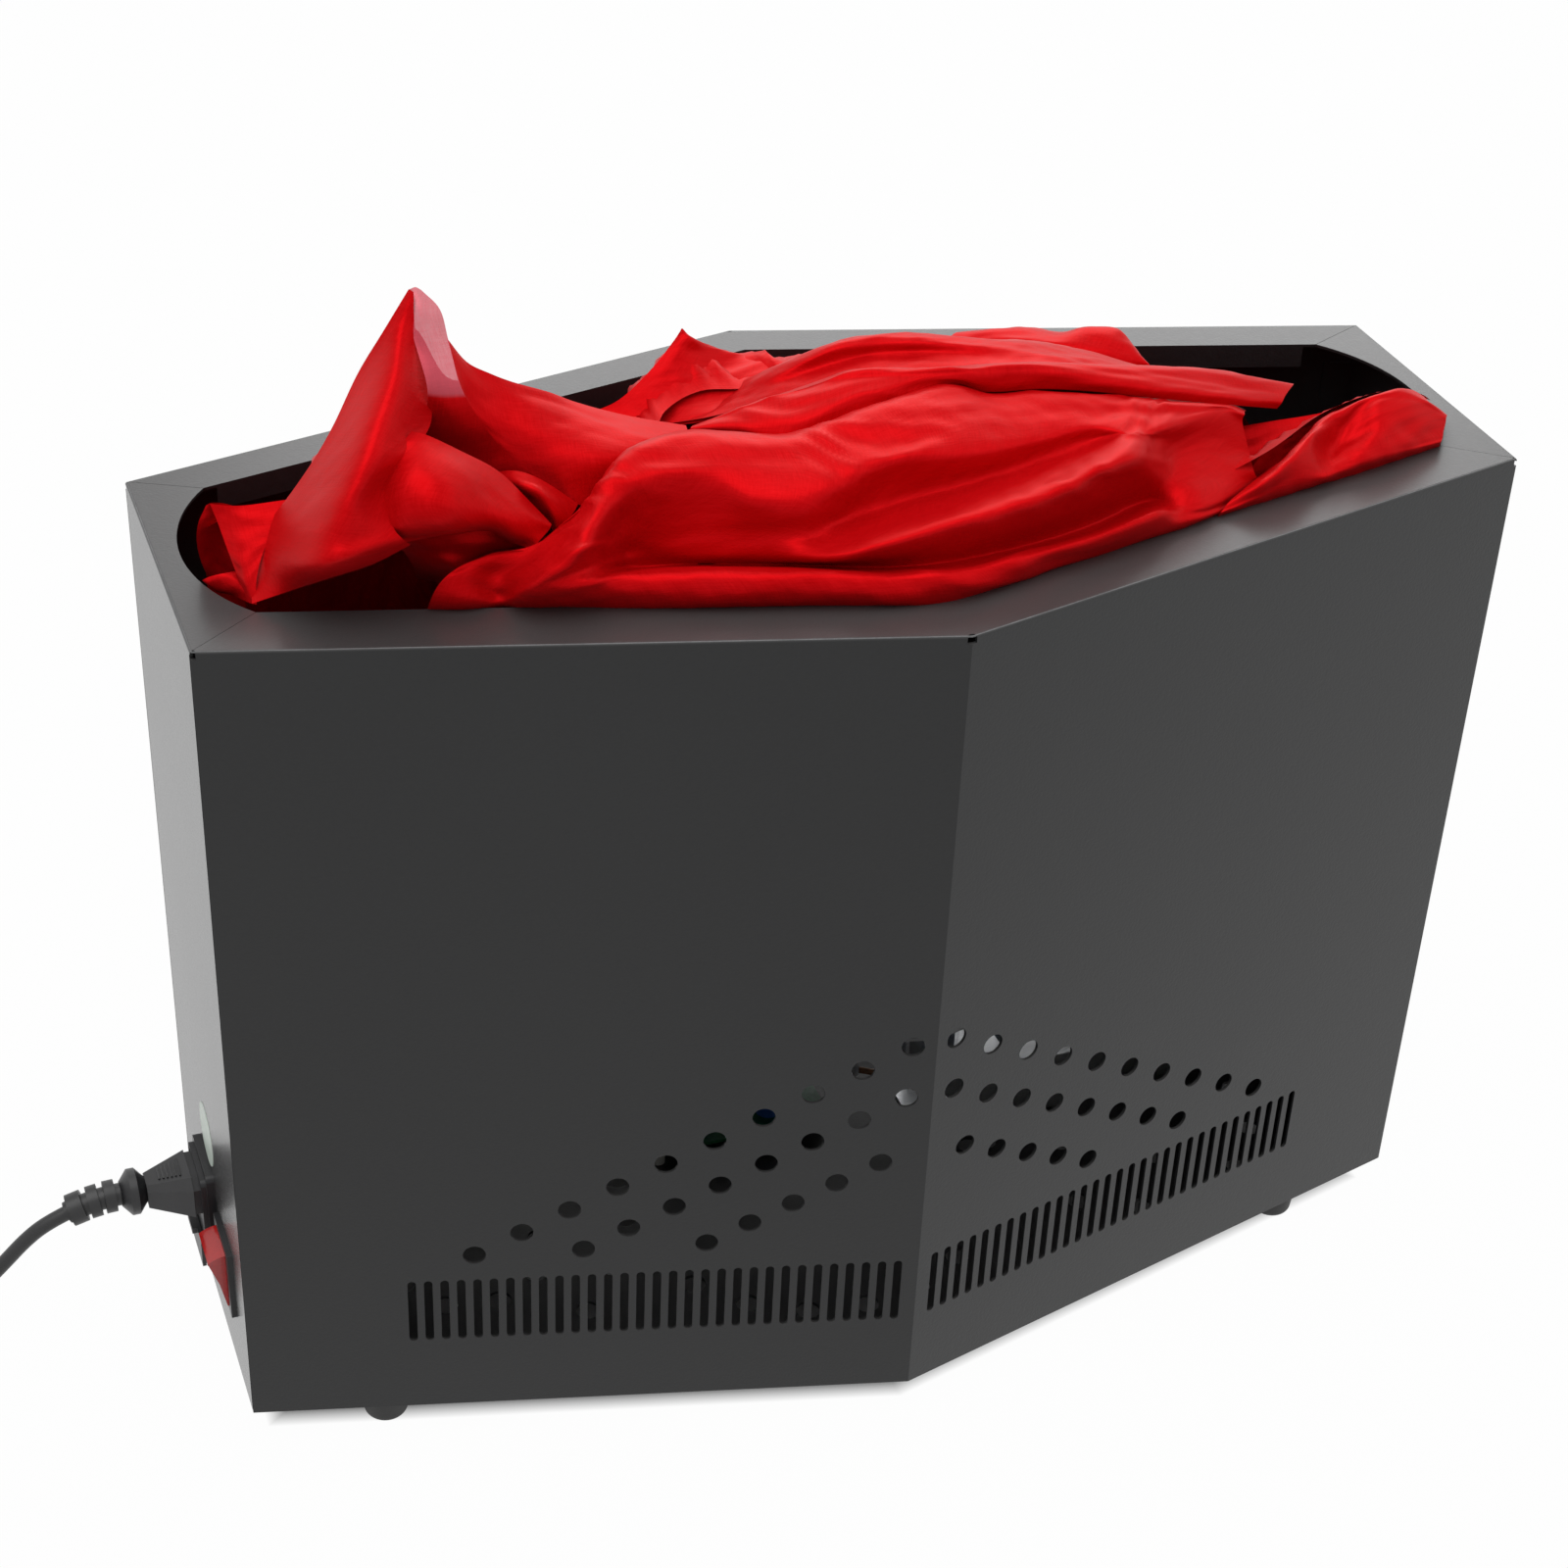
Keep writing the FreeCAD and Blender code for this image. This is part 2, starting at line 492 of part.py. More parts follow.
def footSpots():
    return [(name, x, y) for name, x, y in (
        ("front_left", "-footAcross", "-footDeep"), ("front_right", "footAcross", "-footDeep"),
        ("rear_left", "-footAcross", "footDeep"), ("rear_right", "footAcross", "footDeep"))]


def boltCircle(diameter, depth, ring, count, x, z, start):
    holes = []
    for i in range(int(valueOf(count))):
        turn = "%s + %d*360/%s" % (start, i, count)
        across, deep = "%s + %s*cos(%s)" % (x, ring, turn), "%s*sin(%s)" % (ring, turn)
        holes.append(rod(diameter, depth, across, deep, z))
    return holes


def hexOutline(inset):
    """The housing's outline, drawn in by an inset."""
    end, side = "(%s - (%s))" % (halfLength, inset), "(endWidth/2 - (%s))" % inset
    middle = "(middleWidth/2 - (%s))" % inset
    return [("-" + end, "-" + side), ("0", "-" + middle), (end, "-" + side),
            (end, side), ("0", middle), ("-" + end, side)]


def basePlate():
    plate = prism("XY_Plane", hexOutline("0"), "basePlate", 0, 0, "footHeight")
    low, deep = "footHeight - overrun", "basePlate + 2*overrun"
    holes = boltCircle("intakeDiameter", deep, "intakeRing", "intakeCount", "0", low, "90")
    for x in ("-fanPitch", "fanPitch"):
        holes += boltCircle("intakeDiameter", deep, "sideRing", "sideCount", x, low, "0")
        holes += boltCircle("intakeDiameter", deep, "outerSideRing", "outerSideCount", x, low, "0")
    for x, y in baseScrewSpots():
        holes.append(rod("baseScrewDiameter + 2*screwPlay", deep, x, y, low))
    for name, x, y in footSpots():
        holes.append(rod("footScrewDiameter + 2*screwPlay", deep, x, y, low))
    holes.append(rod("studDiameter", deep, "studAcross", "studDeep", low))
    return cut(plate, *holes)


def screw(diameter, head, headDepth, length, x, y, z, up=True):
    """A pan-head screw; its head lies below z when it points up, above z when it points down."""
    if up:
        return fuse(rod(head, headDepth, x, y, "%s - %s" % (z, headDepth)), rod(diameter, length, x, y, z))
    return fuse(rod(head, headDepth, x, y, z), rod(diameter, length, x, y, "%s - %s" % (z, length)))


def foot(x, y):
    block = cone("footBottom", "footTop", "footHeight", x, y, 0)
    soft = rounded(block, size.footRounding, lambda ends: all(end.z < size.seamGap for end in ends))
    return cut(soft, rod("footRecess", "footRecessDepth", x, y, 0),
               rod("footScrewDiameter + 2*screwPlay", "footHeight + overrun", x, y, 0))


node("front_panel", longPanel("frontRim"))
node("rear_panel", mirrored(longPanel("rearRim"), (0, 1, 0)))
node("left_end_panel", endPanel(-1))
node("right_end_panel", endPanel(1))
node("base_plate", basePlate())
node("base_screws", group(*[screw("baseScrewDiameter", "baseScrewHead", "baseScrewHeadDepth",
                                  "baseScrewLength", x, y, "footHeight") for x, y in baseScrewSpots()]))
footScrews = []
for name, x, y in footSpots():
    node("foot_" + name, foot(x, y))
    reach = "(footHeight - footRecessDepth + basePlate + footNutDepth + footScrewSpare)"
    footScrews.append(screw("footScrewDiameter", "footScrewHead", "footScrewHeadDepth", reach, x, y,
                            "footRecessDepth"))
    footScrews.append(cut(hexagon("footNutWidth", "footNutDepth", x, y, plateTop),
                          rod("footScrewDiameter", "footNutDepth + 2*overrun", x, y,
                              plateTop + " - overrun")))
node("foot_screws", group(*footScrews))


# Fan shelf

fanPlaces = (("left", "-fanPitch"), ("centre", "0"), ("right", "fanPitch"))
lampPlaces = (("front", "-"), ("rear", ""))


def fanCorners(x):
    return [("%s %s fanScrewSpacing/2" % (x, i), "%s fanScrewSpacing/2" % j) for i in "-+" for j in ("-", "")]


def shelfScrewSpots(side):
    x = "%s(%s - sheet - bracketLeg/2)" % ("-" if side < 0 else "", halfLength)
    return [(x, "-shelfScrewAcross"), (x, "shelfScrewAcross")]


def fanShelf():
    low, deep = shelfUnder + " - overrun", "shelfSheet + 2*overrun"
    plate = prism("XY_Plane", hexOutline("%s + shelfPlay" % sheetAcross), "shelfSheet", 0, 0, shelfUnder)
    holes = []
    for name, x in fanPlaces:
        holes.append(rod("fanBore", deep, x, 0, low))
        holes += [rod("fanScrewDiameter + 2*screwPlay", deep, i, j, low) for i, j in fanCorners(x)]
    for side in (-1, 1):
        holes += [rod("shelfScrewDiameter + 2*screwPlay", deep, x, y, low) for x, y in shelfScrewSpots(side)]
    for name, sign in lampPlaces:
        holes.append(rod("wireHoleDiameter", deep, "wireHoleAcross", "%slampSetback" % sign, low))
    for i, j in (("", ""), ("", "-"), ("-", ""), ("-", "-")):
        holes.append(box("2*(sheet + tabWidth + 2*shelfPlay)", "2*shelfNotch", deep, i + halfLength,
                         "%sendWidth/2" % j, low))
    return cut(plate, *holes)


def shelfBracket(side):
    flip = "-" if side < 0 else ""
    wall = "%s(%s - sheet - shelfSheet/2)" % (flip, halfLength)
    ledge = "%s(%s - sheet - bracketLeg/2)" % (flip, halfLength)
    angle = fuse(box("shelfSheet", "bracketLength", "bracketDrop", wall, 0, shelfUnder + " - bracketDrop"),
                 box("bracketLeg", "bracketLength", "shelfSheet", ledge, 0, shelfUnder + " - shelfSheet"))
    low = shelfUnder + " - shelfSheet - overrun"
    return cut(angle, *[rod("shelfScrewDiameter", "shelfSheet + 2*overrun", x, y, low)
                        for x, y in shelfScrewSpots(side)])


node("fan_shelf", fanShelf())
node("shelf_brackets", group(*[shelfBracket(side) for side in (-1, 1)]))


# Fans, which hang under the shelf and blow up

fanLow = "(%s - fanDepth)" % shelfUnder
cupTop = "(%s + fanCupDepth)" % fanLow


def fanFrame(x):
    """Two square flanges on a round body, with a motor cup carried by four struts."""
    low = box("fanSize", "fanSize", "fanFlange", x, 0, fanLow)
    high = box("fanSize", "fanSize", "fanFlange", x, 0, shelfUnder + " - fanFlange")
    ring = rod("fanBody", "fanDepth", x, 0, fanLow)
    bore = rod("fanBore", "fanDepth + 2*overrun", x, 0, fanLow + " - overrun")
    shell = cut(fuse(low, high, ring), bore,
                *[rod("fanScrewDiameter + 2*screwPlay", "fanDepth + 2*overrun", i, j, fanLow + " - overrun")
                  for i, j in fanCorners(x)])
    cup = rod("fanCup", "fanCupDepth", x, 0, fanLow)
    struts = [box("fanBore + sheet", "strutWidth", "strutDepth", x, 0, fanLow),
              box("strutWidth", "fanBore + sheet", "strutDepth", x, 0, fanLow)]
    bearing = rod("shaftDiameter + 2*bearingPlay", "shaftReach + overrun", x, 0, cupTop + " - shaftReach")
    return cut(fuse(shell, cup, *struts), bearing)


def fanRotor(x):
    """A hub cap with seven pitched blades on a short shaft that runs in the cup's bearing."""
    low = "(%s + rotorGap)" % cupTop
    hub = rod("rotorHub", "rotorHubDepth", x, 0, low)
    shaft = rod("shaftDiameter", "shaftReach - bearingPlay*overrun + rotorGap + overrun", x, 0,
                cupTop + " - shaftReach + bearingPlay*overrun")
    blades = []
    for i in range(int(size.bladeCount)):
        blade = bind(document.addObject("Part::Box", "Blade"), Length="bladeTip/2", Width="bladeChord",
                     Height="bladeThickness")
        turn = FreeCAD.Rotation(Vector(0, 0, 1), 360.0 * i / size.bladeCount)
        pitch = FreeCAD.Rotation(Vector(1, 0, 0), size.bladePitchAngle)
        whole = turn.multiply(pitch)
        blade.Placement = FreeCAD.Placement(Vector(), whole)
        offset = whole.multVec(Vector(0, -size.bladeChord / 2, -size.bladeThickness / 2))
        middle = "%s + rotorHubDepth/2" % low
        place(blade, "%s + %.9g*bladeChord" % (x, offset.x / size.bladeChord),
              "%.9g*bladeChord" % (offset.y / size.bladeChord),
              "%s + %.9g*bladeChord" % (middle, offset.z / size.bladeChord))
        blades.append(blade)
    trimmed = common(fuse(*blades), rod("bladeTip", "rotorHubDepth", x, 0, low))
    return fuse(trimmed, hub, shaft)


def fanGuard(x):
    """A finger guard: rings on four spokes, with an eye at each corner."""
    level = "(shelfTop + guardLift)"
    pieces = []
    for i in range(int(size.guardRingCount)):
        middle = "2*(guardRingFirst + %d*guardRingStep)" % i
        hole = rod(middle + " - guardWire", "guardWire + 2*overrun", x, 0, level + " - overrun")
        pieces.append(cut(rod(middle + " + guardWire", "guardWire", x, 0, level + " + guardWire/2"), hole))
    near = "(guardRingFirst - guardWire/4)"
    reach = "(fanScrewSpacing/sqrt(2) - guardEye/2 + guardGrip - %s)" % near
    for angle in (45, 135, 225, 315):
        spoke = document.addObject("Part::Box", "Spoke")
        bind(spoke, Length=reach, Width="guardWire", Height="guardWire")
        spoke.Placement = FreeCAD.Placement(Vector(), FreeCAD.Rotation(Vector(0, 0, 1), angle))
        pieces.append(place(spoke, "%s + cos(%d)*%s + sin(%d)*guardWire/2" % (x, angle, near, angle),
                            "sin(%d)*%s - cos(%d)*guardWire/2" % (angle, near, angle), level))
    for i, j in fanCorners(x):
        eye = rod("guardEye", "guardEyeThickness", i, j, "shelfTop")
        hole = rod("fanScrewDiameter + 2*screwPlay", "guardEyeThickness + 2*overrun", i, j,
                   "shelfTop - overrun")
        pieces.append(cut(eye, hole))
    return fuse(*pieces)


shelfScrews = [screw("shelfScrewDiameter", "shelfScrewHead", "shelfScrewHeadDepth", "shelfScrewLength",
                     x, y, "shelfTop", up=False)
               for side in (-1, 1) for x, y in shelfScrewSpots(side)]
guards = []
for name, x in fanPlaces:
    node("fan_frame_" + name, fanFrame(x))
    node("fan_rotor_" + name, fanRotor(x))
    guards.append(fanGuard(x))
    shelfScrews += [screw("fanScrewDiameter", "fanScrewHead", "fanScrewHeadDepth", "fanScrewLength", i, j,
                        "shelfTop + guardEyeThickness", up=False) for i, j in fanCorners(x)]
node("fan_guards", group(*guards))
node("shelf_screws", group(*shelfScrews))


# Lamp bars: a finned heat sink under the shelf, a board and its lenses on top

boards, lenses = [], []
for name, sign in lampPlaces:
    y = "%slampSetback" % sign
    sink = [box("lampLength", "lampWidth", "lampBase", 0, y, shelfUnder + " - lampBase")]
    finStep = "((lampLength - finThickness)/(finCount - 1))"
    for i in range(int(size.finCount)):
        finX = "-(lampLength - finThickness)/2 + %d*%s" % (i, finStep)
        sink.append(box("finThickness", "lampWidth", "finHeight", finX, y,
                        shelfUnder + " - lampBase - finHeight"))
    node("lamp_heatsink_" + name, fuse(*sink))
    boards.append(box("lampLength", "lampBoardWidth", "boardThickness", 0, y, "shelfTop"))
    lenses += [cone("lensDiameter", "lensTopDiameter", "lensHeight", "(%d - (lensCount - 1)/2)*lensPitch" % i,
                    y, "shelfTop + boardThickness") for i in range(int(size.lensCount))]
node("lamp_boards", group(*boards))
node("lamp_lenses", group(*lenses))


# Rods over the fans that hold the silk, with their brackets and clips

def rodBracket(side):
    flip = "-" if side < 0 else ""
    x, footX = "%srodReach" % flip, "%s(rodReach - rodBracketFoot/2 + rodBracketSheet/2)" % flip
    angle = fuse(box("rodBracketSheet", "rodBracketWidth", "rodBracketHeight", x, 0, "shelfTop"),
                 box("rodBracketFoot", "rodBracketWidth", "rodBracketSheet", footX, 0, "shelfTop"))
    start = "%s - rodBracketSheet/2 - overrun" % x
    return cut(angle, *[rod("rodDiameter + 2*rodPlay", "rodBracketSheet + 2*overrun", start,
                            sign + "rodSpread", rodZ, (0, 1, 0)) for sign in ("-", "")])


node("rod_brackets", group(*[rodBracket(side) for side in (-1, 1)]))
rodLength = "(2*rodReach + rodBracketSheet + 2*overrun)"
rods = [rod("rodDiameter", rodLength, "-%s/2" % rodLength, sign + "rodSpread", rodZ, (0, 1, 0))
        for sign in ("-", "")]
node("silk_rods", group(*rods))
clips = []
for sign, x in (("-", "-fanPitch"), ("-", "0"), ("-", "rightClipAcross"),
                ("", "-fanPitch"), ("", "0"), ("", "rearClipAcross")):
    block = box("clipLength", "clipWidth", "clipHeight", x, sign + "rodSpread", rodZ + " - clipHeight/2")
    clips.append(cut(block, rod("rodDiameter", "clipLength + 2*overrun", "%s - clipLength/2 - overrun" % x,
                                sign + "rodSpread", rodZ, (0, 1, 0))))
node("silk_clips", group(*clips))


# Fused power inlet on the left end

def pinSpots():
    """Live, neutral and earth, as offsets across and up from the socket's middle."""
    low, high = socketZ + " - pinDrop", socketZ + " + pinDrop"
    return [("inletAcross - pinSpread", low), ("inletAcross + pinSpread", low), ("inletAcross", high)]


def inletPins(widen="0"):
    length = "(inletFlange + inletStep + inletBodyDepth - socketDepth + pinReach + pinTail)"
    x = "(-%s + inletBodyDepth + pinTail - %s/2)" % (halfLength, length)
    across, up = "pinThickness + 2*%s" % widen, "pinWidth + 2*%s" % widen
    return [box(length, across, up, x, y, "%s - pinWidth/2 - %s" % (z, widen)) for y, z in pinSpots()]


def drawerBlock(play, extra):
    """The space of the fuse drawer inside the inlet, with a play on every side."""
    x, z = "%s + (drawerDepth + %s)/2" % (inletFront, extra), "%s - drawerHeight/2 - %s" % (drawerZ, play)
    return box("drawerDepth + %s" % extra, "drawerWidth + 2*%s" % play, "drawerHeight + 2*%s" % play,
               x, "inletAcross", z)


def powerInlet():
    middle = "(footHeight + inletRise)"
    flange = box("inletFlange", "inletWidth", "inletHeight", "-%s - inletFlange/2" % halfLength,
                 "inletAcross", middle + " - inletHeight/2")
    stepX, bodyX = "-%s - inletFlange - inletStep/2" % halfLength, "-%s + inletBodyDepth/2" % halfLength
    step = box("inletStep", "inletStepWidth", "inletStepHeight", stepX, "inletAcross",
               middle + " - inletStepHeight/2")
    body = box("inletBodyDepth", "inletBodyWidth", "inletBodyHeight", bodyX, "inletAcross",
               middle + " - inletBodyHeight/2")
    socket = box("socketDepth + overrun", "socketWidth", "socketHeight",
                 "%s + (socketDepth - overrun)/2" % inletFront, "inletAcross", socketZ + " - socketHeight/2")
    front = valueOf("-%s - inletFlange" % halfLength)

    def isCorner(ends):
        if len(ends) < 2 or max(end.x for end in ends) > front + size.inletFlange + size.seamGap:
            return False
        run = ends[1] - ends[0]
        return abs(run.x) > size.seamGap and abs(run.y) + abs(run.z) < size.seamGap
    soft = rounded(fuse(flange, step, body), size.inletRounding, isCorner)
    return cut(soft, socket, drawerBlock("drawerPlay", "drawerPlay"), *inletPins())


def fuseDrawer():
    block = drawerBlock("0", "0")
    faceX = "%s - drawerFace/2 - drawerPlay" % inletFront
    neckX = "%s - drawerPlay + (drawerPlay + overrun)/2" % inletFront
    lipX = "%s - drawerPlay - drawerFace - drawerLip/2" % inletFront
    face = box("drawerFace", "drawerWidth + 2*drawerFace", "drawerFaceHeight", faceX,
               "inletAcross", drawerZ + " - drawerFaceHeight/2")
    neck = box("drawerPlay + overrun", "drawerWidth", "drawerHeight", neckX,
               "inletAcross", drawerZ + " - drawerHeight/2")
    lip = box("drawerLip", "drawerLipWidth", "drawerLipHeight", lipX,
              "inletAcross", drawerZ + " + drawerFaceHeight/2 - drawerLipHeight")
    middle = "%s + drawerDepth/2" % inletFront
    trough = box("fuseDiameter", "troughWidth", "drawerHeight", middle, "inletAcross", drawerZ)
    bed = rod("fuseDiameter", "troughWidth", middle, "inletAcross + troughWidth/2", drawerZ, (1, 0, 0))
    return cut(fuse(block, neck, face, lip), trough, bed)


def drawerFuse():
    x = "%s + drawerDepth/2" % inletFront
    return rod("fuseDiameter", "fuseLength", x, "inletAcross + fuseLength/2", drawerZ, (1, 0, 0))


node("power_inlet", powerInlet())
node("inlet_pins", group(*inletPins()))
node("fuse_drawer", fuseDrawer())
node("fuse", drawerFuse())


# Rocker switch on the left end

switchBack = "(-%s + switchBodyDepth)" % halfLength


def switchBody():
    low = switchZ + " - bezelHeight/2"
    bezelX, bodyX = "-%s - bezelDepth/2" % halfLength, "-%s + switchBodyDepth/2" % halfLength
    bezel = box("bezelDepth", "bezelWidth", "bezelHeight", bezelX, "switchAcross", low)
    body = box("switchBodyDepth", "switchBodyWidth", "switchBodyHeight", bodyX, "switchAcross",
               switchZ + " - switchBodyHeight/2")
    well = rod("2*(rockerSwing + rockerPlay)", "rockerWidth + 2*rockerPlay", pivotX,
               "switchAcross + rockerWidth/2 + rockerPlay", switchZ, (1, 0, 0))
    pivots = [rod("pivotDiameter + 2*bearingPlay", "pivotLength + rockerPlay", pivotX,
                  "switchAcross %s (rockerWidth/2 + rockerPlay) %s" % (sign, move), switchZ, (1, 0, 0))
              for sign, move in (("-", ""), ("+", "+ pivotLength"))]
    return cut(fuse(bezel, body), well, *pivots)


def rockerKey():
    """A key with a shallow valley, tipped half its throw so that its top stands out."""
    half, wide = "rockerSwing", "rockerWidth"
    outline = [("rockerBelly", "-" + half), ("-rockerEndRise", "-" + half), ("-rockerValley", "0"),
               ("-rockerEndRise", half), ("rockerBelly", half)]
    plate = prism("XZ_Plane", outline, wide, centred=True)
    drum = rod("2*rockerSwing", wide, 0, wide + "/2", 0, (1, 0, 0))
    pin = rod("pivotDiameter", "rockerWidth + 2*pivotLength", 0, "rockerWidth/2 + pivotLength", 0, (1, 0, 0))
    key = fuse(common(plate, drum), pin)
    seat = document.addObject("Part::Compound", "Seated")
    seat.Links = [key]
    return place(seat, pivotX, "switchAcross", switchZ, (0, 1, 0), "-rockerThrow/2")


def switchTabs():
    x = "%s + switchTabLength/2" % switchBack
    return group(*[box("switchTabLength", "switchTabWidth", "switchTabThickness", x, "switchAcross",
                       "%s + (%d)*switchTabSpread" % (switchZ, i)) for i in (-1, 0, 1)])


node("switch_body", switchBody())
node("switch_rocker", rockerKey())
node("switch_tabs", switchTabs())
node("round_label", rod("labelDiameter", "labelThickness", "-%s - labelThickness" % halfLength, "labelAcross",
                        "footHeight + labelRise", (0, 1, 0)))


# Connector on the cord, pushed into the inlet but for the last few millimetres

shoulderX = "(%s - shoulderStandoff)" % inletFront
gripEndX = "(%s - gripLength)" % shoulderX
knobEndX = "(%s - knobLength)" % gripEndX


def section(width, height, chamfer, x, y, z):
    """A rectangle in the YZ plane with its two top corners cut off, as a closed wire."""
    corners = [(-width / 2, -height / 2), (width / 2, -height / 2), (width / 2, height / 2 - chamfer),
               (width / 2 - chamfer, height / 2), (-width / 2 + chamfer, height / 2),
               (-width / 2, height / 2 - chamfer)]
    points = [Vector(x, y + across, z + up) for across, up in corners]
    return Part.makePolygon(points + points[:1])


def feature(name, shape):
    made = document.addObject("Part::Feature", name)
    made.Shape = shape
    return made


def connectorBody():
    """Nose with pin slots, a tapered grip with ribs, and a knob where the strain relief starts."""
    y, z, shoulder, waist = (valueOf(text) for text in ("inletAcross", socketZ, shoulderX, gripEndX))
    nose = Part.makeLoft([section(size.noseWidth, size.noseHeight, size.noseChamfer, x, y, z)
                          for x in (shoulder, shoulder + size.noseLength)], True, True)
    gripStart = section(size.gripWidth, size.gripHeight, size.noseChamfer, shoulder, y, z)
    gripEnd = section(size.waistWidth, size.waistHeight, size.noseChamfer / 2, waist, y, z)
    grip = Part.makeLoft([gripStart, gripEnd], True, True)
    core = feature("ConnectorCore", nose.fuse(grip))
    side = "(knobLength - knobFlat)/2"
    flatEnd, flatStart = "%s - knobFlat - %s" % (gripEndX, side), "%s - %s" % (gripEndX, side)
    knob = fuse(cone("knobDiameter", "waistHeight", side, flatEnd, "inletAcross", socketZ, (0, 1, 0), -90),
                rod("knobDiameter", "knobFlat", flatEnd, "inletAcross", socketZ, (0, 1, 0)),
                cone("knobDiameter", "waistHeight", side, flatStart, "inletAcross", socketZ, (0, 1, 0)))
    lean = (size.gripHeight - size.waistHeight) / 2 / size.gripLength
    ribs = []
    for i in range(int(size.ribCount)):
        back = "(gripLength/2 + (%d - ribCount/2)*ribPitch)" % i
        ribs.append(box("ribWidth", "ribLength*(1 - %d/(2*ribCount))" % i, "ribHeight + overrun/2",
                        "%s - %s" % (shoulderX, back), "inletAcross",
                        "%s + gripHeight/2 - %.9g*%s - overrun/2" % (socketZ, lean, back)))
    slots = inletPins("noseSlotPlay")
    return cut(fuse(core, knob, *ribs), *slots)


def reliefRings():
    """A strain relief of spaced rings on a core, bent down along a shallow arc."""
    ringStep = size.reliefRingLength + size.reliefGap
    total = size.reliefRingCount * ringStep + size.reliefEnd
    x, y, z = (valueOf(text) for text in (knobEndX, "inletAcross", socketZ))
    turn = total / size.reliefBend

    def pose(along):
        angle = along / size.reliefBend
        return (Vector(x - size.reliefBend * math.sin(angle), y, z - size.reliefBend * (1 - math.cos(angle))),
                Vector(-math.cos(angle), 0, -math.sin(angle)))
    start, middle, end = (pose(total * share)[0] for share in (0, 1 / 2, 1))
    path = Part.Wire([Part.Arc(start, middle, end).toShape()])
    ring = Part.Wire([Part.makeCircle(size.reliefCore / 2, start, pose(0)[1])])
    core = path.makePipeShell([ring], True, True)
    shape = core
    for i in range(int(size.reliefRingCount)):
        spot, way = pose(size.reliefGap + i * ringStep)
        last = size.reliefEnd - size.reliefLip if i == size.reliefRingCount - 1 else 0
        shape = shape.fuse(Part.makeCylinder(size.reliefRing / 2, size.reliefRingLength + last, spot, way))
    tip, way = pose(total)
    return shape, tip, way


reliefShape, cordExit, cordWay = reliefRings()
node("connector_body", connectorBody())
node("strain_relief", feature("StrainRelief", reliefShape))


# Cord: a free run down to the floor, a put-away coil with its tie, and a tail to the plug

def roundedRoute(points):
    """Straight runs joined by tangent arcs, each as large as its two runs allow."""
    edges, radii, here = [], [], points[0]
    for before, corner, after in zip(points, points[1:], points[2:]):
        inWay, outWay = (corner - before).normalize(), (after - corner).normalize()
        halfTurn = inWay.getAngle(outWay) / 2
        trim = size.arcShare * min((corner - before).Length, (after - corner).Length)
        radii.append(trim / math.tan(halfTurn))
        start, end = corner - inWay * trim, corner + outWay * trim
        weight = math.cos(halfTurn)
        middle = (start + end + corner * (2 * weight)) * (1 / (2 + 2 * weight))
        edges += [Part.LineSegment(here, start).toShape(), Part.Arc(start, middle, end).toShape()]
        here = end
    edges.append(Part.LineSegment(here, points[-1]).toShape())
    return Part.Wire(edges), radii


def pipe(wire, diameter, way):
    ring = Part.Wire([Part.makeCircle(diameter / 2, wire.Vertexes[0].Point, way)])
    return wire.makePipeShell([ring], True, False)


def tube(points, diameter, title=None):
    wire, radii = roundedRoute(points)
    shape = pipe(wire, diameter, points[1] - points[0])
    if title:
        print("%s: length %.1f, radii %s, volume ratio %.5f"
              % (title, wire.Length, " ".join("%.0f" % radius for radius in radii),
                 shape.Volume / (math.pi * diameter ** 2 / 4 * wire.Length)))
    return shape


coilPitch = size.cordDiameter + size.cordGap
coilOuter = size.coilInner + coilPitch * size.coilTurnsIn
coilLow = size.tieThickness + size.tiePlay + size.cordDiameter / 2
coilHigh = coilLow + coilPitch
startAngle = math.pi / 2
reverseAngle = startAngle + 2 * math.pi * size.coilTurnsIn
outAngle = reverseAngle + math.pi
endAngle = outAngle + 2 * math.pi * size.coilTurnsOut


def coilPoint(angle):
    """In along the upper layer, down a layer in the half turn inside, out along the lower one."""
    if angle <= reverseAngle:
        radius, height = coilOuter - coilPitch * (angle - startAngle) / (2 * math.pi), coilHigh
    elif angle <= outAngle:
        share = (angle - reverseAngle) / math.pi
        radius = size.coilInner - coilPitch / (2 * math.pi) * math.sin(math.pi * share)
        height = coilHigh - coilPitch * (3 * share ** 2 - 2 * share ** 3)
    else:
        radius, height = size.coilInner + coilPitch * (angle - outAngle) / (2 * math.pi), coilLow
    across, deep = radius * math.cos(angle), radius * math.sin(angle)
    return Vector(size.coilAcross + across, size.coilDeep + deep, height)


def coilWay(angle):
    """The coil's heading, square to its radius at both ends."""
    smallShare = 1e-4
    if min(abs(angle - end) for end in (startAngle, endAngle)) < smallShare:
        return Vector(-math.sin(angle), math.cos(angle), 0)
    return (coilPoint(angle + smallShare) - coilPoint(angle - smallShare)).normalize()


def arcThrough(start, corner, end):
    """The arc that touches two equal tangents which meet at a corner."""
    weight = (end - start).Length / 2 / (corner - start).Length
    middle = (start + end + corner * (2 * weight)) * (1 / (2 + 2 * weight))
    return Part.Arc(start, middle, end).toShape()


def biarc(start, startWay, end, endWay):
    chord, ways = end - start, startWay + endWay
    a, b, c = 2 * (1 - startWay.dot(endWay)), 2 * chord.dot(ways), -chord.dot(chord)
    reach = (-b + math.sqrt(b * b - 4 * a * c)) / (2 * a)
    first, second = start + startWay * reach, end - endWay * reach
    joint = (first + second) * (1 / 2)
    return [arcThrough(start, first, joint), arcThrough(joint, second, end)]


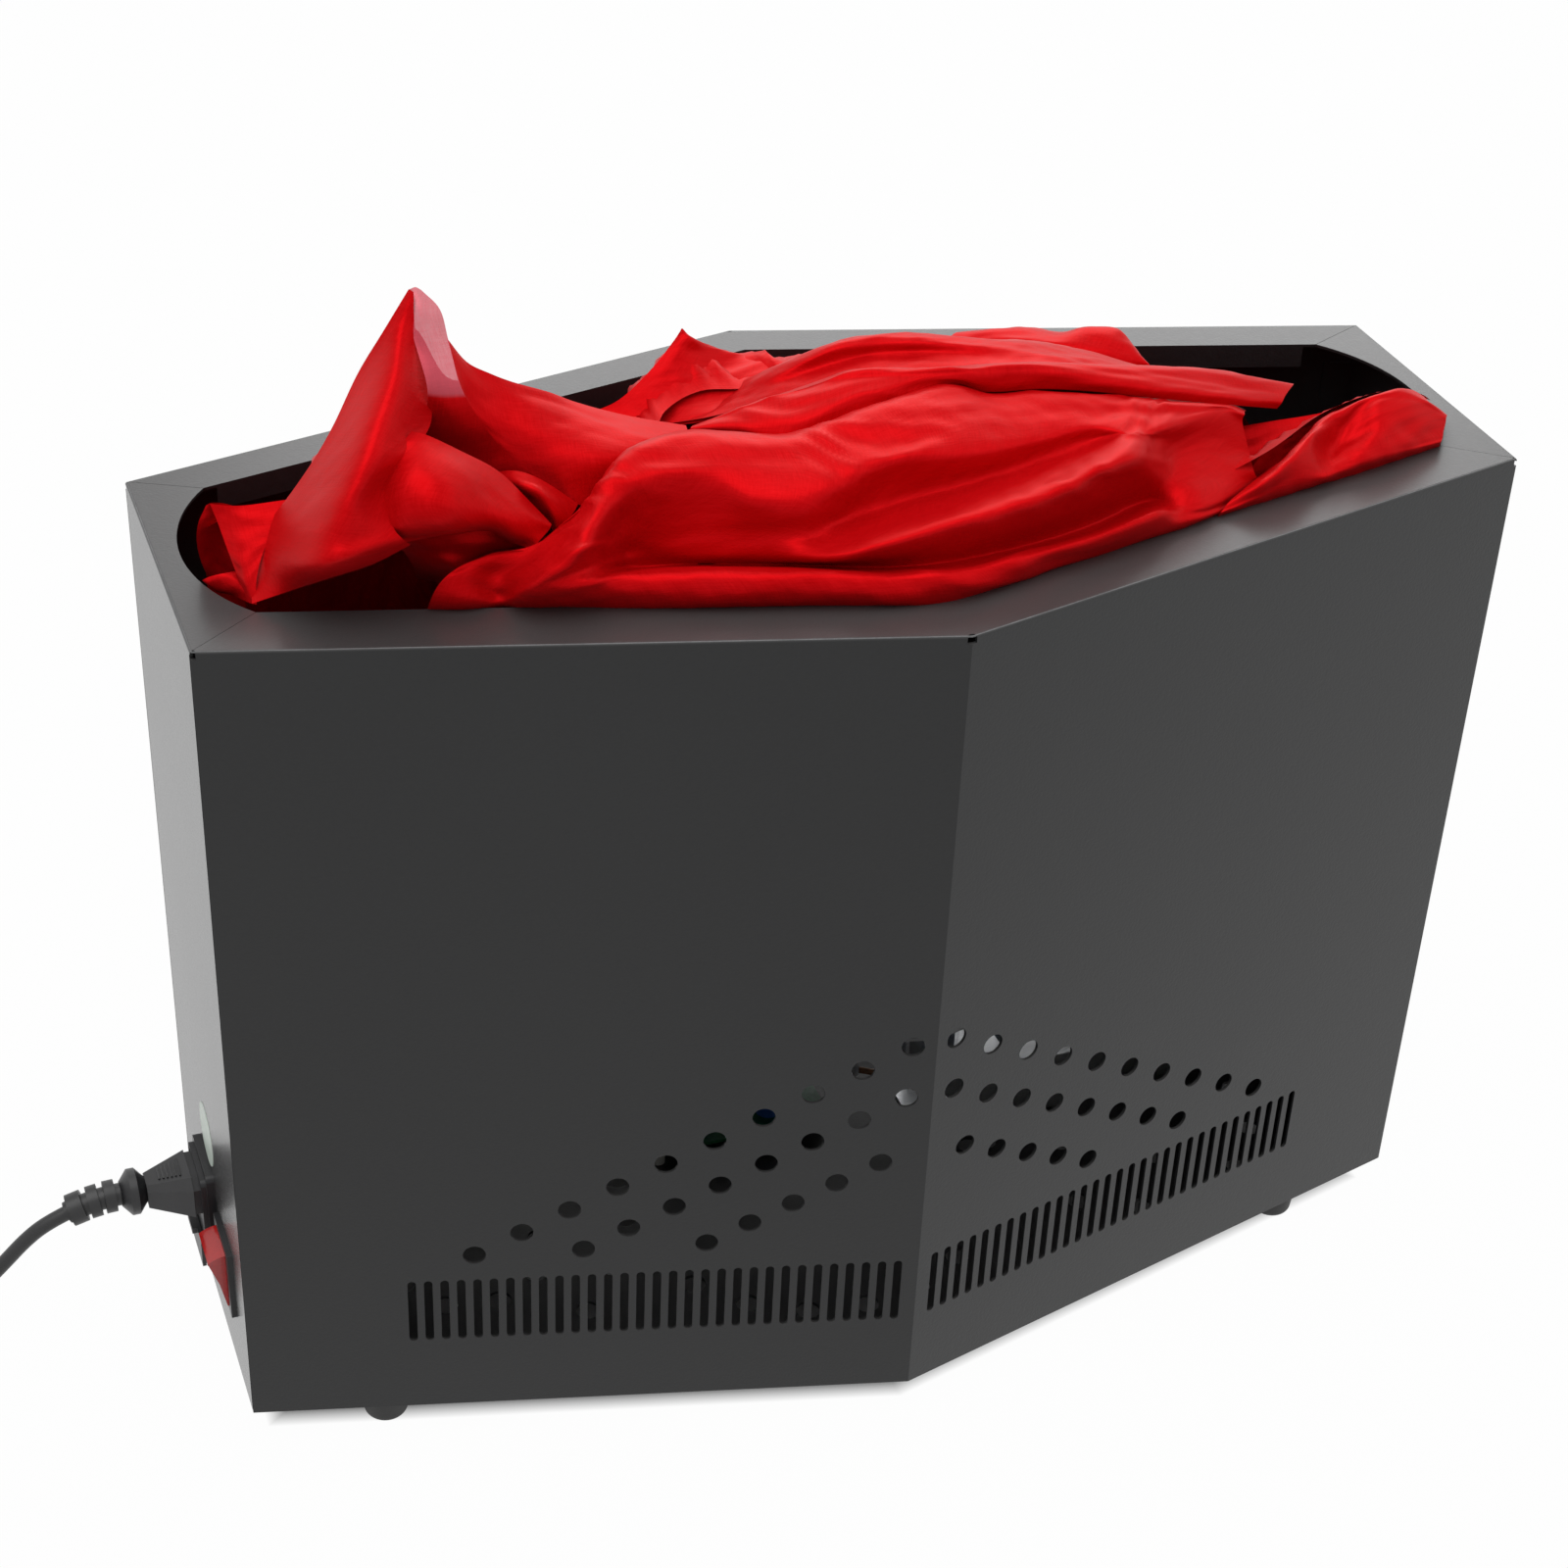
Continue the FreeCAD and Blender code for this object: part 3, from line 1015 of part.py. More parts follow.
def coilSolid():
    steps = int(round((endAngle - startAngle) / (math.pi / 2)))
    angles = [startAngle + i * math.pi / 2 for i in range(steps + 1)]
    edges = []
    for first, second in zip(angles, angles[1:]):
        edges += biarc(coilPoint(first), coilWay(first), coilPoint(second), coilWay(second))
    lead = size.cordDiameter
    start, startWay = coilPoint(startAngle), coilWay(startAngle)
    end, endWay = coilPoint(endAngle), coilWay(endAngle)
    edges.insert(0, Part.LineSegment(start - startWay * lead, start).toShape())
    edges.append(Part.LineSegment(end, end + endWay * lead).toShape())
    wire = Part.Wire(edges)
    fineStep, apart = math.pi / 60, 40
    fine = [coilPoint(startAngle + i * fineStep) for i in range(int((endAngle - startAngle) / fineStep) + 1)]
    gap = min((p - q).Length for i, p in enumerate(fine) for q in fine[i + apart:]) - size.cordDiameter
    print("cord_coil: length %.1f, least gap to itself %.2f" % (wire.Length, gap))
    return pipe(wire, size.cordDiameter, startWay), start - startWay * lead, end + endWay * lead


coilShape, coilStart, coilEnd = coilSolid()
# The run's points, as shares of the way across and down from the strain relief to the coil.
runShares = ((.155, .150), (.242, .306), (.345, .477), (.454, .636), (.574, .770), (.702, .881),
             (.812, .951), (.911, 1))
# The tail's points, as steps from the coil's end up to the plug.
tailSteps = ((0, 9.8, 0), (-1.0, 21.3, -.2), (-1.5, 33.3, 1.1), (-.9, 45.8, 3.8), (.5, 58.3, 5.9),
             (2.1, 69.8, 5.9))
straight = size.straightStart * size.cordDiameter
way = coilStart - cordExit
runPoints = [cordExit, cordExit + cordWay * straight]
runPoints += [cordExit + Vector(way.x * across, 0, way.z * down) for across, down in runShares] + [coilStart]
tailPoints = [coilEnd] + [coilEnd + Vector(*step) for step in tailSteps]
plugWay = (tailPoints[-1] - tailPoints[-2]).normalize()
node("cord_run", feature("CordRun", tube(runPoints, size.cordDiameter, "cord_run")))
node("cord_coil", feature("CordCoil", coilShape))
node("cord_tail", feature("CordTail", tube(tailPoints, size.cordDiameter, "cord_tail")))


def cordTie():
    """A flat strap round every turn of the coil, at its front."""
    pitch = "(cordDiameter + cordGap)"
    inner = "(coilInner - %s/3 - cordDiameter/2 - tiePlay)" % pitch
    outer = "(coilInner + %s*coilTurnsOut + cordDiameter/2 + tiePlay)" % pitch
    middle = "coilDeep - (%s + %s)/2" % (inner, outer)
    tall = "(%s + cordDiameter + 2*tiePlay)" % pitch
    long = "%s - %s" % (outer, inner)
    strap = box("tieWidth", long + " + 2*tieThickness", tall + " + 2*tieThickness", "coilAcross", middle, 0)
    return cut(strap, box("tieWidth + 2*overrun", long, tall, "coilAcross", middle, "tieThickness"))


def plug():
    """A flat three-pin plug: a tapered relief, a chamfered body, and the blades apart."""
    start = tailPoints[-1]
    heading = math.degrees(math.atan2(-plugWay.x, plugWay.y))
    root, tip = size.plugReliefRoot / 2, size.plugReliefEnd / 2
    relief = Part.makeCone(tip, root, size.plugReliefLength, Vector(), Vector(0, 1, 0))
    half, long, deep, nip = size.plugWidth / 2, size.plugLength, size.plugHeight / 2, size.plugChamfer
    outline = [(-half / 2, 0), (half / 2, 0), (half, long / 3),
               (half, long), (-half, long), (-half, long / 3)]
    corners = [Vector(x, size.plugReliefLength + y, -deep) for x, y in outline]
    body = Part.Face(Part.makePolygon(corners + corners[:1])).extrude(Vector(0, 0, 2 * deep))
    upper = [edge for edge in body.Edges if all(abs(abs(v.Z) - deep) < size.seamGap for v in edge.Vertexes)]
    body = body.makeChamfer(nip / 2, upper)
    front = size.plugReliefLength + long
    blades = []
    for across, turn in ((-size.bladePinSpread, 30), (size.bladePinSpread, -30), (0, 90)):
        blade = Part.makeBox(size.bladePinWidth, size.bladePinLength, size.bladePinThickness,
                             Vector(-size.bladePinWidth / 2, front, -size.bladePinThickness / 2))
        up = size.bladePinSpread / 2 if turn != 90 else -size.bladePinSpread / 2
        blade.rotate(Vector(0, front, 0), Vector(0, 1, 0), turn)
        blade.translate(Vector(across, 0, up))
        blades.append(blade)
    whole = [relief.fuse(body), Part.makeCompound(blades)]
    for shape in whole:
        shape.rotate(Vector(), Vector(0, 0, 1), heading)
        shape.translate(Vector(start.x, start.y, size.plugHeight / 2))
    return whole


plugBody, plugBlades = plug()
node("cord_tie", cordTie())
node("mains_plug", feature("MainsPlug", plugBody))
node("plug_blades", feature("PlugBlades", plugBlades))


# Parts that stand on the base plate, and the wires between them

def ledDriver():
    case = box("driverLength", "driverWidth", "driverHeight", "driverAcross", "driverDeep", plateTop)
    ears = box("driverLength + 2*driverEar", "driverWidth/2", "driverEarThickness", "driverAcross",
               "driverDeep", plateTop)
    return fuse(case, ears)


def boardCorners():
    x, y = "(boardLength/2 - standoffInset)", "(boardWidth/2 - standoffInset)"
    return [("boardAcross %s %s" % (i, x), "boardDeep %s %s" % (j, y)) for i in "-+" for j in "-+"]


boardTop = "(%s + standoffHeight + boardThickness)" % plateTop
node("led_driver", ledDriver())
node("control_board", box("boardLength", "boardWidth", "boardThickness", "boardAcross", "boardDeep",
                          plateTop + " + standoffHeight"))
node("board_standoffs", group(*[rod("standoffDiameter", "standoffHeight", x, y, plateTop)
                                for x, y in boardCorners()]))
relays = [box("relayLength", "relayWidth", "relayHeight", "boardAcross + (%d)*(relayLength + overrun)" % i,
              "boardDeep + boardWidth/5", boardTop) for i in (-1, 0, 1)]
caps = [rod("capacitorDiameter", "capacitorHeight", "boardAcross + (%d)*boardLength/5" % i,
            "boardDeep - boardWidth/4", boardTop) for i in (-1, 1)]
node("board_components", group(*relays, *caps))
terminal = box("terminalLength", "terminalWidth", "terminalHeight", "terminalAcross", "terminalDeep",
               plateTop)
terminalHoles = [rod("terminalScrew", "terminalHeight", "terminalAcross + (%d)*terminalPitch" % i,
                     "terminalDeep", plateTop + " + terminalHeight/2") for i in (-1, 0, 1)]
node("terminal_block", cut(terminal, *terminalHoles))
stud = rod("studDiameter", "studHeight + basePlate", "studAcross", "studDeep", "footHeight")
studNut = hexagon("studNutWidth", "studNutDepth", "studAcross", "studDeep", plateTop + " + 2*overrun")
node("earth_stud", fuse(stud, studNut))


def spot(x, y, z):
    return Vector(*[valueOf(text) for text in (x, y, z)])


def wire(start, way, end, endWay, diameter, lift):
    """A lead that leaves both ends squarely and passes over a raised middle."""
    out, back = start + way, end + endWay
    middle = (out + back) * (1 / 2) + Vector(0, 0, lift)
    return tube([start, out, middle, back, end], diameter)


thick, thin = size.mainsWireDiameter, size.fanWireDiameter
tailX = "-%s + inletBodyDepth + pinTail" % halfLength
tabX = "%s + switchTabLength" % switchBack
terminalTop = plateTop + " + terminalHeight"
(liveY, liveZ), (neutralY, neutralZ), (earthY, earthZ) = pinSpots()
away, up = Vector(size.leadOut, 0, 0), Vector(0, 0, size.leadOut)
overTerminal = spot("terminalAcross", "terminalDeep", terminalTop)
besideTerminal = spot("terminalAcross - terminalPitch", "terminalDeep", terminalTop)
supplyTerminal = spot("terminalAcross + terminalPitch", "terminalDeep", terminalTop)
overStud = spot("studAcross", "studDeep", "footHeight + basePlate + studHeight")
upperTab = spot(tabX, "switchAcross", switchZ + " + switchTabSpread")
live = wire(spot(tailX, liveY, liveZ), away, upperTab, Vector(size.switchLeadOut, 0, 0), thick, size.highLift)
neutral = wire(spot(tailX, neutralY, neutralZ), away, besideTerminal, up, thick, size.neutralLift)
earth = wire(spot(tailX, earthY, earthZ), Vector(size.earthLeadOut, 0, 0), overStud, up, thick, size.lowLift)
switchTab = spot(tabX, "switchAcross", switchZ)
switched = wire(switchTab, Vector(size.switchedLeadOut, 0, 0), overTerminal, up, thick, size.lowLift)
node("mains_wires", group(feature("LiveWire", live), feature("NeutralWire", neutral),
                          feature("EarthWire", earth), feature("SwitchedWire", switched)))
boardNear = spot("boardAcross - boardLength/2 + standoffInset*2", "boardDeep", boardTop)
boardFar = spot("boardAcross + boardLength/2 - standoffInset*2", "boardDeep", boardTop)
driverEnd = spot("driverAcross - driverLength/2", "driverDeep", plateTop + " + driverHeight/2")
boardSupply = wire(supplyTerminal, up, boardNear, Vector(0, 0, size.boardLeadUp), thick, size.highLift)
driverSupply = wire(boardFar, Vector(0, 0, size.driverLeadUp), driverEnd, Vector(-size.driverLeadOut, 0, 0),
                    thick, size.driverLift)
node("supply_wires", group(feature("BoardSupply", boardSupply), feature("DriverSupply", driverSupply)))
fanWires = []
for i, (name, x) in enumerate(fanPlaces):
    cupX, boardX = x + " + fanCup/4", "boardAcross + (%d)*standoffInset*2" % (i - 1)
    boardY = "boardDeep - fanWireDiameter"
    fanWires.append(feature("FanWire", tube([
        spot(cupX, "fanCup/4", fanLow), spot(cupX, "fanCup/4", fanLow + " - standoffHeight*2"),
        spot(boardX, boardY, boardTop + " + capacitorHeight"), spot(boardX, boardY, boardTop)], thin)))
node("fan_wires", group(*fanWires))
lampWires = []
for i, (name, sign) in enumerate(lampPlaces):
    lampY, driverY = sign + "lampSetback", "driverDeep + (%d)*fanCup/4 - fanCup/8" % i
    lampWires.append(feature("LampWire", tube([
        spot("wireHoleAcross", lampY, "shelfTop + shelfSheet"),
        spot("wireHoleAcross", lampY, fanLow + " - lampBase"),
        spot("driverAcross", lampY + "*(1 - %d/2)" % i, fanLow + " - fanDepth"),
        spot("driverAcross", driverY, plateTop + " + driverHeight + standoffHeight*2"),
        spot("driverAcross", driverY, plateTop + " + driverHeight")], thin)))
node("lamp_wires", group(*lampWires))


# Silk: closed solids with the main folds, in ruled sections along the housing

# Each row of a piece is a section: its place across as a share of half the mouth, then its
# corners as shares of the mouth's depth there and of the height from the clips to the rim.
leftSilkShares = (
    (-1.057, ((.255, .987), (.386, .987), (.398, 1), (.41, 1.026), (.398, 1.065), (.374, 1.104),
            (.338, 1.129), (.302, 1.129), (.267, 1.091), (.243, 1.045), (.219, 1.016), (.237, 1.006))),
    (-1.026, ((.115, .877), (.414, .877), (.448, .909), (.46, 1.013), (.448, 1.091), (.402, 1.149),
            (.345, 1.175), (.264, 1.175), (.173, 1.129), (.104, 1.065), (.046, 1.016), (.081, 1.006))),
    (-.991, ((.022, .65), (.44, .65), (.484, .845), (.505, 1), (.473, 1.078), (.396, 1.142),
            (.308, 1.175), (.198, 1.168), (.099, 1.129), (.022, 1.065), (-.022, 1.016), (.006, 1.006))),
    (-.947, ((.026, .392), (.547, .392), (.609, .877), (.588, .987), (.484, 1.065), (.339, 1.149),
            (.214, 1.201), (.068, 1.201), (-.026, 1.155), (-.067, 1.084), (-.057, 1.016),
            (.006, 1.006))),
    (-.903, ((.02, .197), (.604, .197), (.673, .877), (.653, .987), (.525, 1.091), (.386, 1.181),
            (.248, 1.272), (.109, 1.291), (0, 1.246), (-.059, 1.142), (-.049, 1.039), (.005, 1.006))),
    (-.855, ((.026, .1), (.655, .1), (.702, .877), (.683, 1), (.542, 1.129), (.411, 1.259),
            (.28, 1.382), (.148, 1.382), (.017, 1.285), (-.049, 1.168), (-.03, 1.065), (.008, 1.013))),
    (-.793, ((.1, 0), (.733, 0), (.724, .877), (.689, 1.013), (.575, 1.181), (.452, 1.362),
            (.364, 1.46), (.223, 1.434), (.082, 1.337), (-.006, 1.22), (.012, 1.136), (.082, 1.013))),
    (-.753, ((.123, 0), (.724, 0), (.724, .877), (.682, 1.026), (.589, 1.207), (.47, 1.466),
            (.386, 1.544), (.267, 1.492), (.149, 1.388), (.064, 1.272), (.056, 1.149), (.106, 1.013))),
    (-.714, ((.137, 0), (.716, 0), (.716, .877), (.683, 1.026), (.594, 1.22), (.488, 1.492),
            (.39, 1.621), (.308, 1.544), (.194, 1.427), (.097, 1.298), (.072, 1.155), (.121, 1.013))),
    (-.652, ((.157, 0), (.704, 0), (.704, .877), (.681, 1.026), (.612, 1.194), (.519, 1.375),
            (.411, 1.492), (.319, 1.453), (.211, 1.362), (.118, 1.272), (.095, 1.162), (.142, 1.013))),
    (-.595, ((.173, 0), (.695, 0), (.695, .877), (.672, 1.026), (.621, 1.155), (.533, 1.298),
            (.416, 1.388), (.328, 1.369), (.239, 1.298), (.166, 1.22), (.115, 1.142), (.151, 1.013))),
    (-.529, ((.239, 0), (.684, 0), (.684, .877), (.663, 1.026), (.615, 1.129), (.531, 1.246),
            (.42, 1.317), (.35, 1.311), (.288, 1.265), (.232, 1.194), (.201, 1.117), (.225, .987))),
    (-.463, ((.298, .036), (.649, .036), (.662, .877), (.655, 1.013), (.609, 1.104), (.53, 1.214),
            (.437, 1.278), (.384, 1.272), (.345, 1.239), (.305, 1.188), (.279, 1.123), (.292, .974))),
    (-.432, ((.329, .1), (.632, .1), (.658, .877), (.652, 1.006), (.6, 1.091), (.516, 1.194),
            (.439, 1.252), (.393, 1.246), (.361, 1.227), (.335, 1.194), (.313, 1.142), (.322, .974))),
)
centreSilkShares = (
    (-.731, ((-.001, .909), (.028, .909), (.032, .974), (.032, 1), (.032, 1.019), (.032, 1.039),
            (.028, 1.058), (.024, 1.071), (.015, 1.084), (.007, 1.091), (-.001, 1.094), (-.014, 1.091),
            (-.026, 1.078), (-.039, 1.052), (-.043, 1.016), (-.001, 1.006))),
    (-.661, ((.014, .78), (.061, .78), (.069, .909), (.069, .987), (.069, 1.039), (.065, 1.071),
            (.057, 1.097), (.045, 1.113), (.03, 1.123), (.014, 1.123), (-.001, 1.113), (-.017, 1.097),
            (-.032, 1.084), (-.048, 1.052), (-.052, 1.016), (.003, 1.006))),
    (-.595, ((.019, .586), (.093, .586), (.1, .909), (.1, 1.039), (.096, 1.091), (.085, 1.129),
            (.063, 1.155), (.041, 1.168), (.019, 1.168), (-.003, 1.155), (-.017, 1.136), (-.032, 1.11),
            (-.047, 1.084), (-.058, 1.052), (-.054, 1.016), (.005, 1.006))),
    (-.529, ((.017, .521), (.177, .521), (.184, .909), (.184, 1.065), (.18, 1.129), (.156, 1.181),
            (.121, 1.214), (.086, 1.227), (.051, 1.22), (.024, 1.188), (.003, 1.142), (-.011, 1.104),
            (-.032, 1.084), (-.05, 1.052), (-.05, 1.016), (.006, 1.006))),
    (-.463, ((.014, .392), (.252, .392), (.259, .909), (.259, 1.104), (.252, 1.175), (.219, 1.239),
            (.173, 1.272), (.127, 1.265), (.087, 1.239), (.06, 1.168), (.041, 1.104), (.014, 1.078),
            (-.019, 1.084), (-.045, 1.058), (-.045, 1.016), (.004, 1.006))),
    (-.427, ((.014, .327), (.291, .327), (.297, .909), (.297, 1.129), (.291, 1.207), (.252, 1.252),
            (.194, 1.285), (.143, 1.278), (.098, 1.246), (.072, 1.168), (.053, 1.104), (.02, 1.078),
            (-.018, 1.084), (-.044, 1.058), (-.044, 1.016), (.007, 1.006))),
    (-.418, ((.017, .1), (.631, .1), (.67, .909), (.657, 1.026), (.58, 1.142), (.49, 1.233),
            (.388, 1.252), (.286, 1.259), (.196, 1.285), (.126, 1.265), (.081, 1.155), (.049, 1.091),
            (.011, 1.078), (-.034, 1.071), (-.044, 1.016), (.007, 1.006))),
    (-.374, ((.02, .036), (.788, .036), (.838, .877), (.788, 1.039), (.701, 1.129), (.577, 1.168),
            (.478, 1.194), (.367, 1.214), (.268, 1.272), (.168, 1.291), (.106, 1.207), (.069, 1.104),
            (.02, 1.078), (-.03, 1.078), (-.042, 1.016), (.004, 1.006))),
    (-.273, ((.017, 0), (.862, 0), (.931, .877), (.862, 1.052), (.757, 1.194), (.676, 1.188),
            (.572, 1.162), (.457, 1.207), (.329, 1.259), (.191, 1.278), (.11, 1.233), (.069, 1.117),
            (.017, 1.084), (-.029, 1.084), (-.041, 1.016), (.003, 1.006))),
    (-.198, ((.018, 0), (.889, 0), (.944, .877), (.878, 1.065), (.767, 1.265), (.69, 1.207),
            (.613, 1.162), (.481, 1.214), (.337, 1.259), (.205, 1.272), (.117, 1.233), (.067, 1.142),
            (.018, 1.104), (-.026, 1.097), (-.037, 1.016), (.004, 1.006))),
    (-.11, ((.022, 0), (.9, 0), (.952, .877), (.889, 1.052), (.785, 1.188), (.701, 1.168),
            (.607, 1.227), (.482, 1.246), (.367, 1.278), (.221, 1.278), (.127, 1.246), (.069, 1.155),
            (.022, 1.129), (-.025, 1.091), (-.035, 1.016), (.004, 1.006))),
    (0, ((.022, 0), (.895, 0), (.949, .877), (.885, 1.039), (.777, 1.142), (.679, 1.194),
            (.581, 1.265), (.502, 1.252), (.404, 1.304), (.267, 1.291), (.159, 1.252), (.096, 1.162),
            (.042, 1.142), (-.017, 1.091), (-.032, 1.016), (.005, 1.006))),
    (.132, ((.016, 0), (.905, 0), (.958, .877), (.894, 1.052), (.788, 1.149), (.704, 1.214),
            (.577, 1.272), (.481, 1.259), (.365, 1.311), (.238, 1.278), (.143, 1.239), (.09, 1.181),
            (.026, 1.168), (-.021, 1.104), (-.032, 1.016), (.002, 1.006))),
    (.22, ((.022, 0), (.905, 0), (.961, .877), (.894, 1.052), (.793, 1.142), (.704, 1.201),
            (.559, 1.265), (.48, 1.259), (.346, 1.304), (.223, 1.259), (.134, 1.227), (.078, 1.194),
            (.022, 1.181), (-.023, 1.104), (-.034, 1.016), (.003, 1.006))),
    (.308, ((.017, 0), (.906, 0), (.965, .877), (.929, 1.065), (.835, 1.097), (.74, 1.168),
            (.574, 1.239), (.479, 1.252), (.325, 1.291), (.207, 1.246), (.124, 1.22), (.065, 1.207),
            (.017, 1.168), (-.024, 1.091), (-.036, 1.016), (.003, 1.006))),
    (.397, ((.025, 0), (.906, 0), (.975, .877), (.969, 1.078), (.894, 1.104), (.768, 1.129),
            (.591, 1.214), (.478, 1.227), (.314, 1.272), (.201, 1.239), (.125, 1.227), (.062, 1.207),
            (.018, 1.155), (-.026, 1.078), (-.038, 1.016), (.003, 1.006))),
    (.485, ((.019, 0), (.907, 0), (.974, .877), (.967, 1.084), (.893, 1.11), (.786, 1.117),
            (.597, 1.175), (.476, 1.194), (.315, 1.252), (.208, 1.233), (.127, 1.214), (.073, 1.142),
            (.019, 1.091), (-.034, 1.065), (-.041, 1.016), (.003, 1.006))),
    (.564, ((.024, .133), (.904, .133), (.976, .877), (.969, 1.078), (.904, 1.11), (.804, 1.123),
            (.604, 1.129), (.475, 1.175), (.36, 1.22), (.232, 1.214), (.146, 1.188), (.089, 1.117),
            (.031, 1.071), (-.026, 1.045), (-.04, 1.016), (.003, 1.006))),
    (.639, ((.024, .327), (.885, .327), (.961, .877), (.953, 1.039), (.885, 1.091), (.793, 1.091),
            (.611, 1.091), (.489, 1.149), (.367, 1.194), (.26, 1.188), (.168, 1.142), (.092, 1.104),
            (.031, 1.097), (-.03, 1.052), (-.045, 1.016), (.005, 1.006))),
    (.665, ((.239, .586), (.473, .586), (.52, .909), (.52, 1.052), (.504, 1.097), (.488, 1.123),
            (.457, 1.149), (.41, 1.172), (.363, 1.181), (.317, 1.181), (.27, 1.168), (.239, 1.142),
            (.215, 1.104), (.2, 1.052), (.2, 1), (.215, .922))),
    (.749, ((.268, .877), (.454, .877), (.496, .922), (.504, 1), (.504, 1.052), (.487, 1.084),
            (.462, 1.11), (.42, 1.129), (.378, 1.142), (.336, 1.142), (.302, 1.136), (.268, 1.117),
            (.243, 1.084), (.235, 1.039), (.235, .987), (.251, .922))),
    (.811, ((.343, 1.039), (.451, 1.039), (.469, 1.045), (.478, 1.058), (.478, 1.071), (.469, 1.084),
            (.451, 1.094), (.424, 1.104), (.397, 1.11), (.37, 1.11), (.352, 1.104), (.334, 1.091),
            (.325, 1.078), (.316, 1.065), (.321, 1.052), (.33, 1.042))),
)
rightSilkShares = (
    (.678, ((.022, .586), (.157, .586), (.172, .909), (.172, 1.026), (.141, 1.078), (.094, 1.11),
            (.038, 1.123), (-.017, 1.11), (-.056, 1.065), (-.06, 1.016), (.007, 1.006))),
    (.784, ((.025, 0), (.26, 0), (.243, .877), (.243, 1.013), (.208, 1.078), (.155, 1.123),
            (.086, 1.136), (.016, 1.104), (-.054, 1.058), (-.071, 1.016), (.007, 1.006))),
    (.881, ((.022, 0), (.235, 0), (.283, .877), (.302, 1.013), (.254, 1.084), (.177, 1.136),
            (.08, 1.155), (.003, 1.142), (-.065, 1.078), (-.084, 1.016), (.008, 1.006))),
    (.943, ((.029, .197), (.257, .197), (.319, .877), (.34, 1.013), (.277, 1.078), (.174, 1.129),
            (.07, 1.149), (-.013, 1.117), (-.064, 1.058), (-.075, 1.016), (.008, 1.006))),
    (1.004, ((.059, .715), (.282, .715), (.327, .922), (.349, 1.013), (.293, 1.065), (.171, 1.11),
            (.059, 1.11), (-.019, 1.078), (-.064, 1.039), (-.064, 1.016), (.042, 1.006))),
    (1.057, ((.243, .987), (.338, .987), (.35, 1), (.356, 1.013), (.314, 1.039), (.243, 1.058),
            (.171, 1.065), (.099, 1.052), (.039, 1.032), (.039, 1.016), (.231, 1.006))),
)


def silkPoint(acrossShare, deepShare, upShare):
    x = acrossShare * size.mouthLength / 2
    edge = size.middleWidth / 2 - size.slope * abs(x)
    front, rear = size.frontRim + size.silkPlay - edge, edge - size.rearRim - size.silkPlay
    low = valueOf(rodZ + " + clipHeight/2")
    return Vector(x, front + (rear - front) * deepShare, low + (valueOf(shellTop) - low) * upShare)


def silkSolid(shares):
    wires = []
    for acrossShare, corners in shares:
        points = [silkPoint(acrossShare, *corner) for corner in corners]
        wires.append(Part.makePolygon(points + points[:1]))
    return Part.makeLoft(wires, True, True)


node("silk_left", feature("SilkLeft", silkSolid(leftSilkShares)))
node("silk_centre", feature("SilkCentre", silkSolid(centreSilkShares)))
node("silk_right", feature("SilkRight", silkSolid(rightSilkShares)))


# Check every object, then write one file for each node

document.recompute()
for item in document.Objects:
    if "Invalid" in item.State or "Error" in item.State:
        raise RuntimeError("%s (%s) failed: %s" % (item.Name, item.Label, item.State))
for name, item in nodes.items():
    if item.Shape.isNull() or not item.Shape.isValid() or item.Shape.Volume <= 0:
        raise RuntimeError("%s has no valid solid" % name)
os.makedirs("parts", exist_ok=True)
for name, item in nodes.items():
    item.Shape.exportStep(os.path.join("parts", name + ".step"))
print("%d nodes written" % len(nodes))
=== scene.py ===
import bpy
import json
import math
import numpy as np
from mathutils import Matrix, Vector


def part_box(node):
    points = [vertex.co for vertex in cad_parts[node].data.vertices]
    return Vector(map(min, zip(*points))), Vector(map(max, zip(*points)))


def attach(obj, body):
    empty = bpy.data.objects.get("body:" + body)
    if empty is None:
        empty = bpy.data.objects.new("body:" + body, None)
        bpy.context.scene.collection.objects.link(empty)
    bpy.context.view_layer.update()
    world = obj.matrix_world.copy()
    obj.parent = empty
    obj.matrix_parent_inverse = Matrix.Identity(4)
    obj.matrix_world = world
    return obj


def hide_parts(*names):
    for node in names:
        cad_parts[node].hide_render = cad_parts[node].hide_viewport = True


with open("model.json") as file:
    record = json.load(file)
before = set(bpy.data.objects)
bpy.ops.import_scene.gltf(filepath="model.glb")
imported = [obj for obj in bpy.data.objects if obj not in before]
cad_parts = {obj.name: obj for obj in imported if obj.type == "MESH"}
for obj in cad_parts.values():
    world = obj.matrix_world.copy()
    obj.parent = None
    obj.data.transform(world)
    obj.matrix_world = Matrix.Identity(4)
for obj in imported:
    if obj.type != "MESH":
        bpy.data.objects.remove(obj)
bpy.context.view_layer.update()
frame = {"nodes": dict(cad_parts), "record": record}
print("frame loaded:", len(frame["nodes"]), "nodes")

scene = bpy.context.scene
scene.view_settings.view_transform = "Standard"
millimetre = 0.001
housingCentre = 4.5   # mm, the housing's middle in the frame, whose x = 0 is midway between the light's ends

